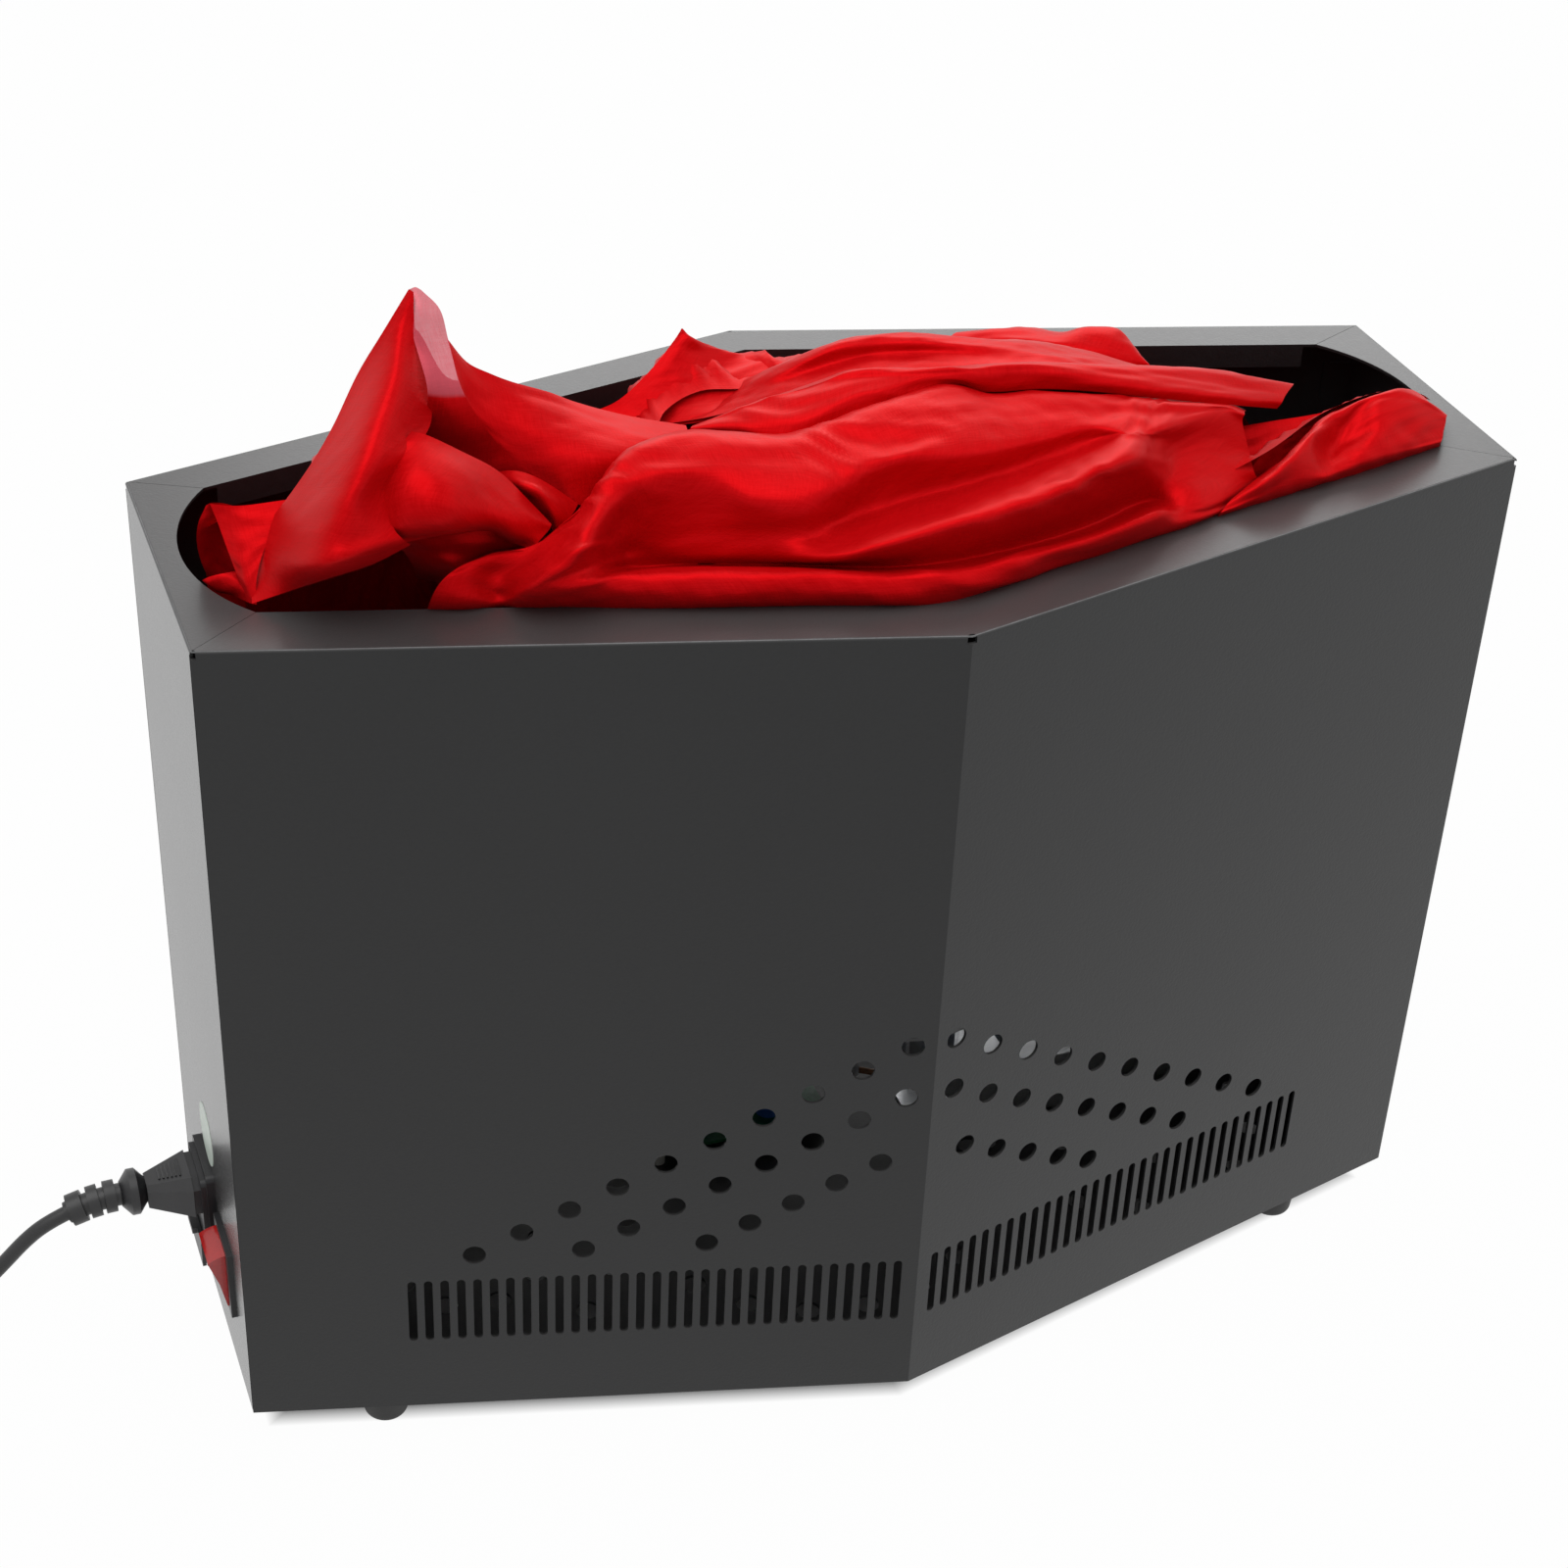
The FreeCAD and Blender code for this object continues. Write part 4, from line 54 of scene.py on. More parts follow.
# camera, from the photograph's vanishing lines; lengths in mm from the housing's middle on the floor
camera = {
    "place": (-373.79, -900.33, 871.73),
    "right": (0.93816151, -0.34390638, 0.03976663),
    "up": (0.15980056, 0.53207481, 0.83148071),
    "back": (-0.30711034, -0.77370847, 0.55412854),
    "lens": 67.632,
    "sensor": 36,
    "picture": 1600,
    "far": 20,
}
cameraAxes = [np.array(camera[word]) for word in ("right", "up", "back")]
cameraPlace = np.array(camera["place"])
cameraData = bpy.data.cameras.new("camera")
cameraData.lens = camera["lens"]
cameraData.sensor_width = camera["sensor"]
cameraData.clip_end = camera["far"]
cameraObject = bpy.data.objects.new("camera", cameraData)
scene.collection.objects.link(cameraObject)
turn = Matrix([[axis[i] for axis in cameraAxes] for i in range(3)]).to_4x4()
shifted = Vector(camera["place"]) + Vector((housingCentre, 0, 0))
cameraObject.matrix_world = Matrix.Translation(shifted * millimetre) @ turn
scene.camera = cameraObject


def fromPicture(u, v, height):
    # the point at a height in mm above the floor that the photograph shows at a pixel
    middle = camera["picture"] / 2
    focal = camera["lens"] / camera["sensor"] * camera["picture"]
    way = cameraAxes[0] * (u - middle) / focal + cameraAxes[1] * (middle - v) / focal - cameraAxes[2]
    spot = cameraPlace + way * (height - cameraPlace[2]) / way[2]
    return (spot + (housingCentre, 0, 0)) * millimetre


# shader maths: an expression on sockets adds its Math nodes
class Wire:
    def __init__(self, shading, socket):
        self.shading = shading
        self.socket = socket

    def mathNode(self, kind, *values):
        return self.shading.add("ShaderNodeMath", {"operation": kind}, dict(enumerate(values)))

    def __add__(self, other):
        return self.mathNode("ADD", self, other)

    def __radd__(self, other):
        return self.mathNode("ADD", other, self)

    def __sub__(self, other):
        return self.mathNode("SUBTRACT", self, other)

    def __rsub__(self, other):
        return self.mathNode("SUBTRACT", other, self)

    def __mul__(self, other):
        return self.mathNode("MULTIPLY", self, other)

    def __rmul__(self, other):
        return self.mathNode("MULTIPLY", other, self)


class Shading:
    def __init__(self, tree):
        self.tree = tree

    def feed(self, socket, value):
        if isinstance(value, Wire):
            self.tree.links.new(value.socket, socket)
        else:
            socket.default_value = value

    def add(self, kind, settings=None, inputs=None, output=0):
        made = self.tree.nodes.new(kind)
        for name, value in (settings or {}).items():
            if name == "stops":
                ramp = made.color_ramp
                while len(ramp.elements) < len(value):
                    ramp.elements.new(1)
                for element, (place, colour) in zip(ramp.elements, value):
                    element.position = place
                    element.color = (*colour, 1)
            else:
                setattr(made, name, value)
        for name, value in (inputs or {}).items():
            self.feed(made.inputs[name], value)
        return Wire(self, made.outputs[output])

    def seen(self):
        # 1 for the rays that look straight, by a reflection or through something clear
        camera, glossy, clear = [self.add("ShaderNodeLightPath", {}, {}, "Is %s Ray" % kind)
                                 for kind in ("Camera", "Glossy", "Transmission")]
        return camera + glossy + clear


class Finish(Shading):
    def __init__(self, name, settings):
        self.material = bpy.data.materials.new(name)
        self.material.use_nodes = True
        super().__init__(self.material.node_tree)
        self.shader = self.tree.nodes["Principled BSDF"]
        for socket, value in settings.items():
            self.shader.inputs[socket].default_value = value

    def place(self, kind="Object", scale=(1, 1, 1)):
        spots = self.add("ShaderNodeTexCoord", {}, {}, kind)
        return self.add("ShaderNodeMapping", {}, {"Vector": spots, "Scale": scale})

    def noise(self, size, stretch=(1, 1, 1), detail=2, kind="Object"):
        # size is the grain's size in metres
        return self.add("ShaderNodeTexNoise", {}, {"Vector": self.place(kind, stretch), "Scale": 1 / size,
                                                   "Detail": detail})

    def ramp(self, value, *stops):
        return self.add("ShaderNodeValToRGB", {"stops": stops}, {0: value})

    def mix(self, share, first, second):
        colours = [tuple(c) + (1,) if isinstance(c, tuple) else c for c in (first, second)]
        return self.add("ShaderNodeMix", {"data_type": "RGBA"}, {0: share, 6: colours[0], 7: colours[1]}, 2)

    def bump(self, height, depth):
        return self.add("ShaderNodeBump", {}, {"Height": height, "Distance": depth})

    def colour(self, value):
        self.feed(self.shader.inputs["Base Color"], value)

    def rough(self, value):
        self.feed(self.shader.inputs["Roughness"], value)

    def normal(self, value):
        self.feed(self.shader.inputs["Normal"], value)


plainLook = {"patches": 12, "detail": 3, "patchShare": 0.6, "fineShare": 0.4, "from": 0.3, "to": 0.7}


def plain(name, dark, light, roughness, spread, grain, depth, settings=None, stretch=(1, 1, 1)):
    # a finish whose colour and roughness wander between two limits over a fine grain, its size in metres
    look = plainLook
    finish = Finish(name, settings or {})
    patches = finish.noise(grain * look["patches"], stretch, look["detail"])
    fine = finish.noise(grain, stretch, look["detail"])
    mixed = patches * look["patchShare"] + fine * look["fineShare"]
    finish.colour(finish.ramp(mixed, (look["from"], dark), (look["to"], light)))
    finish.rough(fine * spread + (roughness - spread / 2))
    finish.normal(finish.bump(fine, depth))
    return finish.material


# sizes in metres; shares say how much each pattern weighs
coatLook = {
    "shader": {"IOR": 1.3, "Coat Weight": 1.0, "Coat Roughness": 0.26, "Coat IOR": 1.25},
    "pebbles": 1000, "smooth": 0.8, "swell": 0.0022, "swellDetail": 3, "wear": 0.08, "wearDetail": 4,
    "swellShare": 0.6, "pebbleShare": 0.7, "colourShare": 0.5,
    "dark": (0.3, (0.009, 0.0092, 0.0096)), "light": (0.7, (0.0135, 0.0138, 0.0143)),
    # the pale colour and its least and spread shares below paint top light onto faces that look up
    "paintedTopLight": (0.085, 0.083, 0.083), "paintedTopLightLeast": 0.35, "paintedTopLightSpread": 0.3,
    "rough": 0.42, "roughWear": 0.1, "roughSwell": 0.12, "depth": 0.00009,
}


def powderCoat():
    # fine leather texture: pebbles about a millimetre across over a slow swell
    look = coatLook
    finish = Finish("powderCoat", look["shader"])
    pebbles = finish.add("ShaderNodeTexVoronoi", {"feature": "SMOOTH_F1"},
                         {"Vector": finish.place(), "Scale": look["pebbles"], "Smoothness": look["smooth"]})
    swell = finish.noise(look["swell"], detail=look["swellDetail"])
    wear = finish.noise(look["wear"], detail=look["wearDetail"])
    share = look["colourShare"]
    coat = finish.ramp(wear * share + swell * share, look["dark"], look["light"])
    # painted top light: faces that look up are mixed towards a pale colour, more where the wear noise is high
    facing = finish.add("ShaderNodeNewGeometry", {}, {}, "Normal")
    upward = finish.add("ShaderNodeSeparateXYZ", {}, {0: facing}, 2)
    paintedTopLight = finish.add("ShaderNodeMath", {"operation": "MAXIMUM"}, {0: upward, 1: 0.0})
    paintedTopLightShare = paintedTopLight * (wear * look["paintedTopLightSpread"] + look["paintedTopLightLeast"])
    finish.colour(finish.mix(paintedTopLightShare, coat, look["paintedTopLight"]))
    finish.rough(wear * look["roughWear"] + swell * look["roughSwell"] + look["rough"])
    finish.normal(finish.bump(swell * look["swellShare"] - pebbles * look["pebbleShare"], look["depth"]))
    return finish.material


# the cloth's patterns: size in metres, stretch across and along the cloth, and share of the weave
silkLook = {
    "shader": {"Metallic": 0.28, "IOR": 1.2, "Specular Tint": (1, 0.1, 0.1, 1)},
    "threads": ((0.0006, (1, 0.1, 1), 0.45), (0.0006, (0.1, 1, 1), 0.35), (0.0016, (0.05, 1, 1), 0.2)),
    "patches": 0.04, "weaveShare": 0.75, "patchShare": 0.25,
    "dark": (0.34, (0.46, 0.001, 0.0022)), "light": (0.66, (0.62, 0.005, 0.0078)),
    "thinColour": (0.6, 0.1, 0.135), "thinShare": 0.9, "clear": 0.25,
    "rough": 0.24, "roughWeave": 0.3, "depth": 0.00014,
}


def silkFinish():
    # plain weave with a satin gloss: warp, weft, and slubs along the weft, in the cloth's own lengths
    look = silkLook
    finish = Finish("silkWeave", look["shader"])
    warp, weft, slub = [finish.noise(size, stretch, kind="UV") * share
                        for size, stretch, share in look["threads"]]
    weave = warp + weft + slub
    mixed = weave * look["weaveShare"] + finish.noise(look["patches"]) * look["patchShare"]
    cloth = finish.ramp(mixed, look["dark"], look["light"])
    thin = finish.add("ShaderNodeAttribute", {"attribute_name": "thin"}, {}, "Fac")
    finish.colour(finish.mix(thin * look["thinShare"], cloth, look["thinColour"]))
    finish.rough(weave * look["roughWeave"] + look["rough"])
    finish.normal(finish.bump(weave, look["depth"]))
    finish.feed(finish.shader.inputs["Alpha"], 1 - thin * (look["clear"] - look["clear"] * weave))
    return finish.material


finishes = {
    "powder_coat": powderCoat(),
    "silk": silkFinish(),
    "zinc_plate": plain("zincPlate", (0.42, 0.43, 0.45), (0.62, 0.63, 0.66), 0.38, 0.2, 0.003, 0.00002,
                        {"Metallic": 1.0}),
    "steel_screw": plain("platedSteel", (0.42, 0.43, 0.44), (0.6, 0.61, 0.62),
                         0.3, 0.16, 0.0006, 0.00001, {"Metallic": 1.0}),
    "rubber_foot": plain("footRubber", (0.012, 0.012, 0.012), (0.026, 0.026, 0.026),
                         0.62, 0.16, 0.0008, 0.00004),
    "fan_plastic": plain("fanPlastic", (0.018, 0.018, 0.019), (0.03, 0.03, 0.032),
                         0.42, 0.12, 0.0007, 0.00002),
    "aluminium": plain("bareAluminium", (0.56, 0.57, 0.59), (0.78, 0.79, 0.8),
                       0.32, 0.2, 0.0006, 0.00002, {"Metallic": 1.0}, (0.05, 1, 1)),
    "board_white": plain("lampBoard", (0.68, 0.69, 0.67), (0.82, 0.83, 0.8), 0.45, 0.1, 0.001, 0.00001),
    "lens": plain("lensPlastic", (0.82, 0.86, 0.9), (0.93, 0.95, 0.98), 0.12, 0.06, 0.002, 0.000005,
                  {"Transmission Weight": 0.6, "IOR": 1.49}),
    "black_plastic": plain("blackPlastic", (0.012, 0.012, 0.013), (0.022, 0.022, 0.024),
                           0.4, 0.14, 0.0006, 0.00003),
    "brass": plain("platedBrass", (0.62, 0.47, 0.2), (0.8, 0.64, 0.34),
                   0.28, 0.12, 0.0008, 0.00001, {"Metallic": 1.0}),
    "fuse_glass": plain("fuseGlass", (0.75, 0.78, 0.78), (0.9, 0.92, 0.92), 0.1, 0.05, 0.002, 0.000004,
                        {"Transmission Weight": 0.7}),
    "red_key": plain("redKey", (0.5, 0.004, 0.004), (0.72, 0.012, 0.01), 0.22, 0.08, 0.0012, 0.00001,
                     {"Transmission Weight": 0.25, "Coat Weight": 0.4}),
    "paper_label": plain("paperLabel", (0.6, 0.72, 0.62), (0.78, 0.84, 0.78), 0.42, 0.1, 0.001, 0.00001),
    "cord_pvc": plain("cordSheath", (0.01, 0.01, 0.0105), (0.02, 0.02, 0.021),
                      0.42, 0.12, 0.0009, 0.00003),
    "circuit_board": plain("circuitBoard", (0.006, 0.09, 0.03), (0.02, 0.18, 0.07),
                           0.35, 0.14, 0.0016, 0.00004),
    "component_blue": plain("relayBlue", (0.02, 0.08, 0.36), (0.04, 0.14, 0.5),
                            0.36, 0.1, 0.0012, 0.00002),
    "wire_insulation": plain("wireSkin", (0.16, 0.06, 0.02), (0.3, 0.14, 0.05),
                             0.42, 0.1, 0.002, 0.00002),
    "nylon": plain("naturalNylon", (0.66, 0.65, 0.6), (0.8, 0.79, 0.74), 0.45, 0.1, 0.001, 0.00002),
}
slotOf = {row["node"]: row["material_slot"] for row in frame["record"]["subparts"]}
for name, node in frame["nodes"].items():
    for slot in node.material_slots:
        slot.material = finishes["powder_coat" if name == "base_plate" else slotOf[name]]
print("finishes on", len(slotOf), "nodes")


def newObject(name, data, finish):
    made = bpy.data.objects.new(name, data)
    scene.collection.objects.link(made)
    data.materials.append(finishes[finish])
    return made


# cord: the same route as in the part's source, in mm from the housing's middle
cord = {
    "diameter": 6, "gap": 0.5, "inner": 25, "turnsIn": 3, "turnsOut": 3.25,
    "coil": (-427, -37.8, 4.1), "perTurn": 16, "lead": 6,
    "exit": (-309.07, 6.7, 75.39), "way": (-0.934, 0, -0.357), "straight": 9,
    "run": ((0.155, 0.15), (0.242, 0.306), (0.345, 0.477), (0.454, 0.636), (0.574, 0.77), (0.702, 0.881),
            (0.812, 0.951), (0.911, 1)),
    "tail": ((0, 9.8, 0), (-1, 21.3, -0.2), (-1.5, 33.3, 1.1), (-0.9, 45.8, 3.8), (0.5, 58.3, 5.9),
             (2.1, 69.8, 5.9)),
    "roundness": 5, "steps": 6, "order": 3,
}


def coilPoints():
    pitch = cord["diameter"] + cord["gap"]
    x, y, low = cord["coil"]
    start = math.pi / 2
    reverse = start + 2 * math.pi * cord["turnsIn"]
    outward = reverse + math.pi
    end = outward + 2 * math.pi * cord["turnsOut"]
    step = 2 * math.pi / cord["perTurn"]
    points = []
    for i in range(round((end - start) / step) + 1):
        angle = start + i * step
        if angle <= reverse:
            radius = cord["inner"] + pitch * (reverse - angle) / (2 * math.pi)
            height = low + pitch
        elif angle <= outward:
            share = (angle - reverse) / math.pi
            radius = cord["inner"] - pitch / (2 * math.pi) * math.sin(math.pi * share)
            height = low + pitch * (1 - 3 * share ** 2 + 2 * share ** 3)
        else:
            radius = cord["inner"] + pitch * (angle - outward) / (2 * math.pi)
            height = low
        points.append(Vector((x + radius * math.cos(angle), y + radius * math.sin(angle), height)))
    points.insert(0, points[0] + Vector((cord["lead"], 0, 0)))
    points.append(points[-1] + Vector((0, cord["lead"], 0)))
    return points


def cordPoints():
    leave = Vector(cord["exit"])
    coil = coilPoints()
    way = coil[0] - leave
    run = [leave, leave + Vector(cord["way"]) * cord["straight"]]
    run += [leave + Vector((way.x * across, 0, way.z * down)) for across, down in cord["run"]]
    tail = [coil[-1] + Vector(step) for step in cord["tail"]]
    return [(point + Vector((housingCentre, 0, 0))) * millimetre for point in run + coil + tail]


curve = bpy.data.curves.new("mainsCord", "CURVE")
curve.dimensions = "3D"
curve.bevel_depth = cord["diameter"] / 2 * millimetre
curve.bevel_resolution = cord["roundness"]
curve.resolution_u = cord["steps"]
spline = curve.splines.new("NURBS")
route = cordPoints()
spline.points.add(len(route) - 1)
for point, spot in zip(spline.points, route):
    point.co = (*spot, 1)
spline.order_u = cord["order"]
spline.use_endpoint_u = True
curve.use_fill_caps = True
mainsCord = newObject("mainsCord", curve, "cord_pvc")
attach(mainsCord, "cordset")
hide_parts("cord_run", "cord_coil", "cord_tail")
print("cord laid through", len(route), "points")


# Geometry Nodes: trees with named inputs, turned into plain meshes
wireSides = 8


class Tree:
    def __init__(self, name, inputs):
        self.group = bpy.data.node_groups.new(name, "GeometryNodeTree")
        self.group.interface.new_socket("Geometry", in_out="INPUT", socket_type="NodeSocketGeometry")
        self.group.interface.new_socket("Geometry", in_out="OUTPUT", socket_type="NodeSocketGeometry")
        for label, value in inputs.items():
            kind = "NodeSocketInt" if isinstance(value, int) else "NodeSocketFloat"
            self.group.interface.new_socket(label, in_out="INPUT", socket_type=kind).default_value = value
        self.given = self.group.nodes.new("NodeGroupInput").outputs

    def add(self, kind, settings=None, inputs=None, output=0):
        made = self.group.nodes.new(kind)
        for name, value in (settings or {}).items():
            setattr(made, name, value)
        for name, value in (inputs or {}).items():
            if isinstance(value, bpy.types.NodeSocket):
                self.group.links.new(value, made.inputs[name])
            else:
                made.inputs[name].default_value = value
        return made.outputs[output]

    def sum(self, kind, *values):
        return self.add("ShaderNodeMath", {"operation": kind}, dict(enumerate(values)))

    def join(self, *pieces):
        joined = self.group.nodes.new("GeometryNodeJoinGeometry")
        for piece in pieces:
            self.group.links.new(piece, joined.inputs[0])
        return joined.outputs[0]

    def ring(self, sides, radius):
        return self.add("GeometryNodeCurvePrimitiveCircle", {}, {"Resolution": sides, "Radius": radius})

    def point(self, **places):
        return self.add("ShaderNodeCombineXYZ", {}, places)

    def wire(self, curve, radius):
        ring = self.ring(wireSides, radius)
        return self.add("GeometryNodeCurveToMesh", {}, {"Curve": curve, "Profile Curve": ring,
                                                        "Fill Caps": True})

    def end(self, piece, finish):
        whole = self.add("GeometryNodeRealizeInstances", {}, {"Geometry": piece})
        smooth = self.add("GeometryNodeSetShadeSmooth", {}, {"Geometry": whole})
        painted = self.add("GeometryNodeSetMaterial", {}, {"Geometry": smooth, "Material": finishes[finish]})
        self.group.links.new(painted, self.group.nodes.new("NodeGroupOutput").inputs[0])


def grown(name, tree, values, finish, base=None):
    # the tree's result as a plain mesh, with the inputs set by their sockets' identifiers
    carrier = bpy.data.objects.new(name + "Carrier", base or bpy.data.meshes.new(name + "Carrier"))
    scene.collection.objects.link(carrier)
    modifier = carrier.modifiers.new(name, "NODES")
    modifier.node_group = tree.group
    for item in tree.group.interface.items_tree:
        if item.in_out == "INPUT" and item.name in values:
            modifier[item.identifier] = values[item.name]
    shown = carrier.evaluated_get(bpy.context.evaluated_depsgraph_get())
    mesh = bpy.data.meshes.new_from_object(shown)
    carrier.modifiers.remove(modifier)
    bpy.data.objects.remove(carrier)
    mesh.name = name
    mesh.materials.clear()
    return newObject(name, mesh, finish)


# finger guards: round wire rings on four arms over each fan, with an eye at each corner
guard = {"Rings": 4, "First Ring": 0.013, "Ring Step": 0.0125, "Ring Sides": 96, "Wire": 0.0008, "Arms": 4,
         "Eye Spread": 0.07425, "Eye": 0.0037, "Eye Sides": 32,
         "Fans": 3, "Fan Spacing": 0.15, "Middle": 0.0045, "Level": 0.1911}


def guardTree():
    tree = Tree("fingerGuard", guard)
    given = tree.given
    number = tree.add("GeometryNodeInputIndex")
    size = tree.sum("ADD", given["First Ring"], tree.sum("MULTIPLY", number, given["Ring Step"]))
    rings = tree.add("GeometryNodeInstanceOnPoints", {}, {
        "Points": tree.add("GeometryNodePoints", {}, {"Count": given["Rings"]}),
        "Instance": tree.ring(given["Ring Sides"], 1.0), "Scale": tree.point(X=size, Y=size, Z=size)})
    reach = tree.sum("SUBTRACT", given["Eye Spread"], given["Eye"])
    arm = tree.add("GeometryNodeCurvePrimitiveLine", {}, {
        "Start": tree.point(X=given["First Ring"]), "End": tree.point(X=reach)})
    eye = tree.add("GeometryNodeTransform", {}, {
        "Geometry": tree.ring(given["Eye Sides"], given["Eye"]),
        "Translation": tree.point(X=given["Eye Spread"])})
    turn = 2 * math.pi / guard["Arms"]
    angle = tree.sum("ADD", tree.sum("MULTIPLY", number, turn), turn / 2)
    arms = tree.add("GeometryNodeInstanceOnPoints", {}, {
        "Points": tree.add("GeometryNodePoints", {}, {"Count": given["Arms"]}),
        "Instance": tree.join(arm, eye), "Rotation": tree.point(Z=angle)})
    curves = tree.add("GeometryNodeRealizeInstances", {}, {"Geometry": tree.join(rings, arms)})
    one = tree.wire(curves, given["Wire"])
    spread = tree.sum("MULTIPLY", tree.sum("SUBTRACT", number, 1.0), given["Fan Spacing"])
    place = tree.point(X=tree.sum("ADD", spread, given["Middle"]), Z=given["Level"])
    fans = tree.add("GeometryNodePoints", {}, {"Count": given["Fans"], "Position": place})
    tree.end(tree.add("GeometryNodeInstanceOnPoints", {}, {"Points": fans, "Instance": one}), "steel_screw")
    return tree


guards = grown("fanGuards", guardTree(), guard, "steel_screw")
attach(guards, "housing")
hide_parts("fan_guards")
print("finger guards wound,", len(guards.data.polygons), "faces")


# bend of the sheet round the top edge: a fine tube in a pale colour, a painted highlight where the bend
# catches the light
bend = {"Line": 0.00035, "Inset": 0.000635, "Drop": 0.000368, "halfLength": 0.253, "halfMiddle": 0.1255,
        "halfEnd": 0.062}   # metres


def bendOutline():
    # the housing's outline from above, drawn in by the inset
    inset = bend["Inset"]
    slope = (bend["halfMiddle"] - bend["halfEnd"]) / bend["halfLength"]
    length = bend["halfLength"] - inset
    middle = bend["halfMiddle"] - inset * math.hypot(1, slope)
    end = middle - slope * length
    centre = housingCentre * millimetre
    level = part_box("front_panel")[1][2] - bend["Drop"]
    outline = [(-length, -end), (0, -middle), (length, -end), (length, end), (0, middle), (-length, end)]
    count = len(outline)
    edges = [(i, (i + 1) % count) for i in range(count)]
    mesh = bpy.data.meshes.new("bendOutline")
    mesh.from_pydata([(x + centre, y, level) for x, y in outline], edges, [])
    return mesh


bendTree = Tree("rimBend", {"Line": bend["Line"]})
around = bendTree.add("GeometryNodeMeshToCurve", {}, {"Mesh": bendTree.given["Geometry"]})
bendTree.end(bendTree.wire(around, bendTree.given["Line"]), "powder_coat")
rimBend = grown("rimBend", bendTree, bend, "powder_coat", bendOutline())
# the tube's pale colour is a painted highlight along the bend
rimBend.data.materials[0] = plain("paintedBendHighlight", (0.07, 0.071, 0.073), (0.17, 0.172, 0.176), 0.42, 0.2, 0.0008,
                                  0.00002)
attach(rimBend, "housing")
print("rim bend drawn,", len(rimBend.data.polygons), "faces")


# silk: sheets lofted through fold lines, whose points are (pixel across, pixel down, height in mm)
def between(points, count):
    # Catmull-Rom curves through matching points, with the same number of steps between each two
    points = np.array(points, float)
    padded = np.concatenate([[2 * points[0] - points[1]], points, [2 * points[-1] - points[-2]]])
    made = []
    for a, b, c, d in zip(padded, padded[1:], padded[2:], padded[3:]):
        for share in np.linspace(0, 1, count, endpoint=False):
            made.append(0.5 * (2 * b + (c - a) * share + (2 * a - 5 * b + 4 * c - d) * share ** 2
                               + (3 * b - 3 * c + d - a) * share ** 3))
    return np.array(made + [points[-1]])


def smoothLine(points, count, flat=3):
    # a smooth line through the points, with equal steps along its length
    fine = between(points, folds["fine"])
    steps = np.linalg.norm(np.diff(fine[:, :flat], axis=0), axis=1) + folds["least"]
    along = np.concatenate([[0], np.cumsum(steps)])
    at = np.linspace(0, along[-1], count)
    return np.stack([np.interp(at, along, column) for column in fine.T], axis=1)


def frontPoints(sheet):
    rows = between([smoothLine(line, sheet["columns"], 2) for line in sheet["lines"]], sheet["steps"])
    return np.array([[fromPicture(*point) for point in row] for row in rows])


def backPoints(sections):
    # the sides away from the camera, in sections across the housing: x, then (y, z) down the cloth, in mm
    lines = [smoothLine([(x, y, z) for y, z in line], backs["columns"]) for x, line in sections]
    rows = between(lines, backs["steps"])
    return (rows + (housingCentre, 0, 0)) * millimetre


def lengths(points):
    # how far each point lies along its row and down its column
    along = np.cumsum(np.linalg.norm(np.diff(points, axis=1, prepend=points[:, :1]), axis=2), axis=1)
    down = np.cumsum(np.linalg.norm(np.diff(points, axis=0, prepend=points[:1]), axis=2), axis=0)
    return along, down


def waves(along, down, seed, shortest, longest, lean):
    # a field of fold-like waves that run mostly along the cloth, from -1 to 1
    chance = np.random.default_rng(seed)
    total = np.zeros_like(along)
    for _ in range(folds["waves"]):
        length = chance.uniform(shortest, longest)
        turn = chance.normal(0, lean)
        across = down * math.cos(turn) + along * math.sin(turn)
        total += np.sin(2 * math.pi * (across / length + chance.random()))
    return total / math.sqrt(folds["waves"])


def folded(points, seed, depth, scale=1):
    along, down = lengths(points)
    field = waves(along, down, seed + 1, folds["patchFrom"], folds["patchTo"], folds["patchLean"])
    patch = 0.5 + 0.5 * np.sin(field * folds["patchTurns"])
    creaseFrom, creaseTo = folds["creaseFrom"] * scale, folds["creaseTo"] * scale
    crease = 1 - 2 * np.abs(waves(along, down, seed + 2, creaseFrom, creaseTo, folds["lean"]))
    ripple = waves(along, down, seed + 3, folds["rippleFrom"], folds["rippleTo"], folds["lean"])
    outward = np.cross(np.gradient(points, axis=1), np.gradient(points, axis=0))
    outward /= np.linalg.norm(outward, axis=2, keepdims=True) + folds["leastArea"]
    shift = depth * (patch * crease + folds["ripple"] * ripple)
    rowFade, columnFade = [np.clip(np.minimum(np.arange(n), np.arange(n)[::-1]) / (folds["fade"] * n), 0, 1)
                           for n in points.shape[:2]]
    return points + outward * (shift * rowFade[:, None] * columnFade[None, :])[:, :, None]


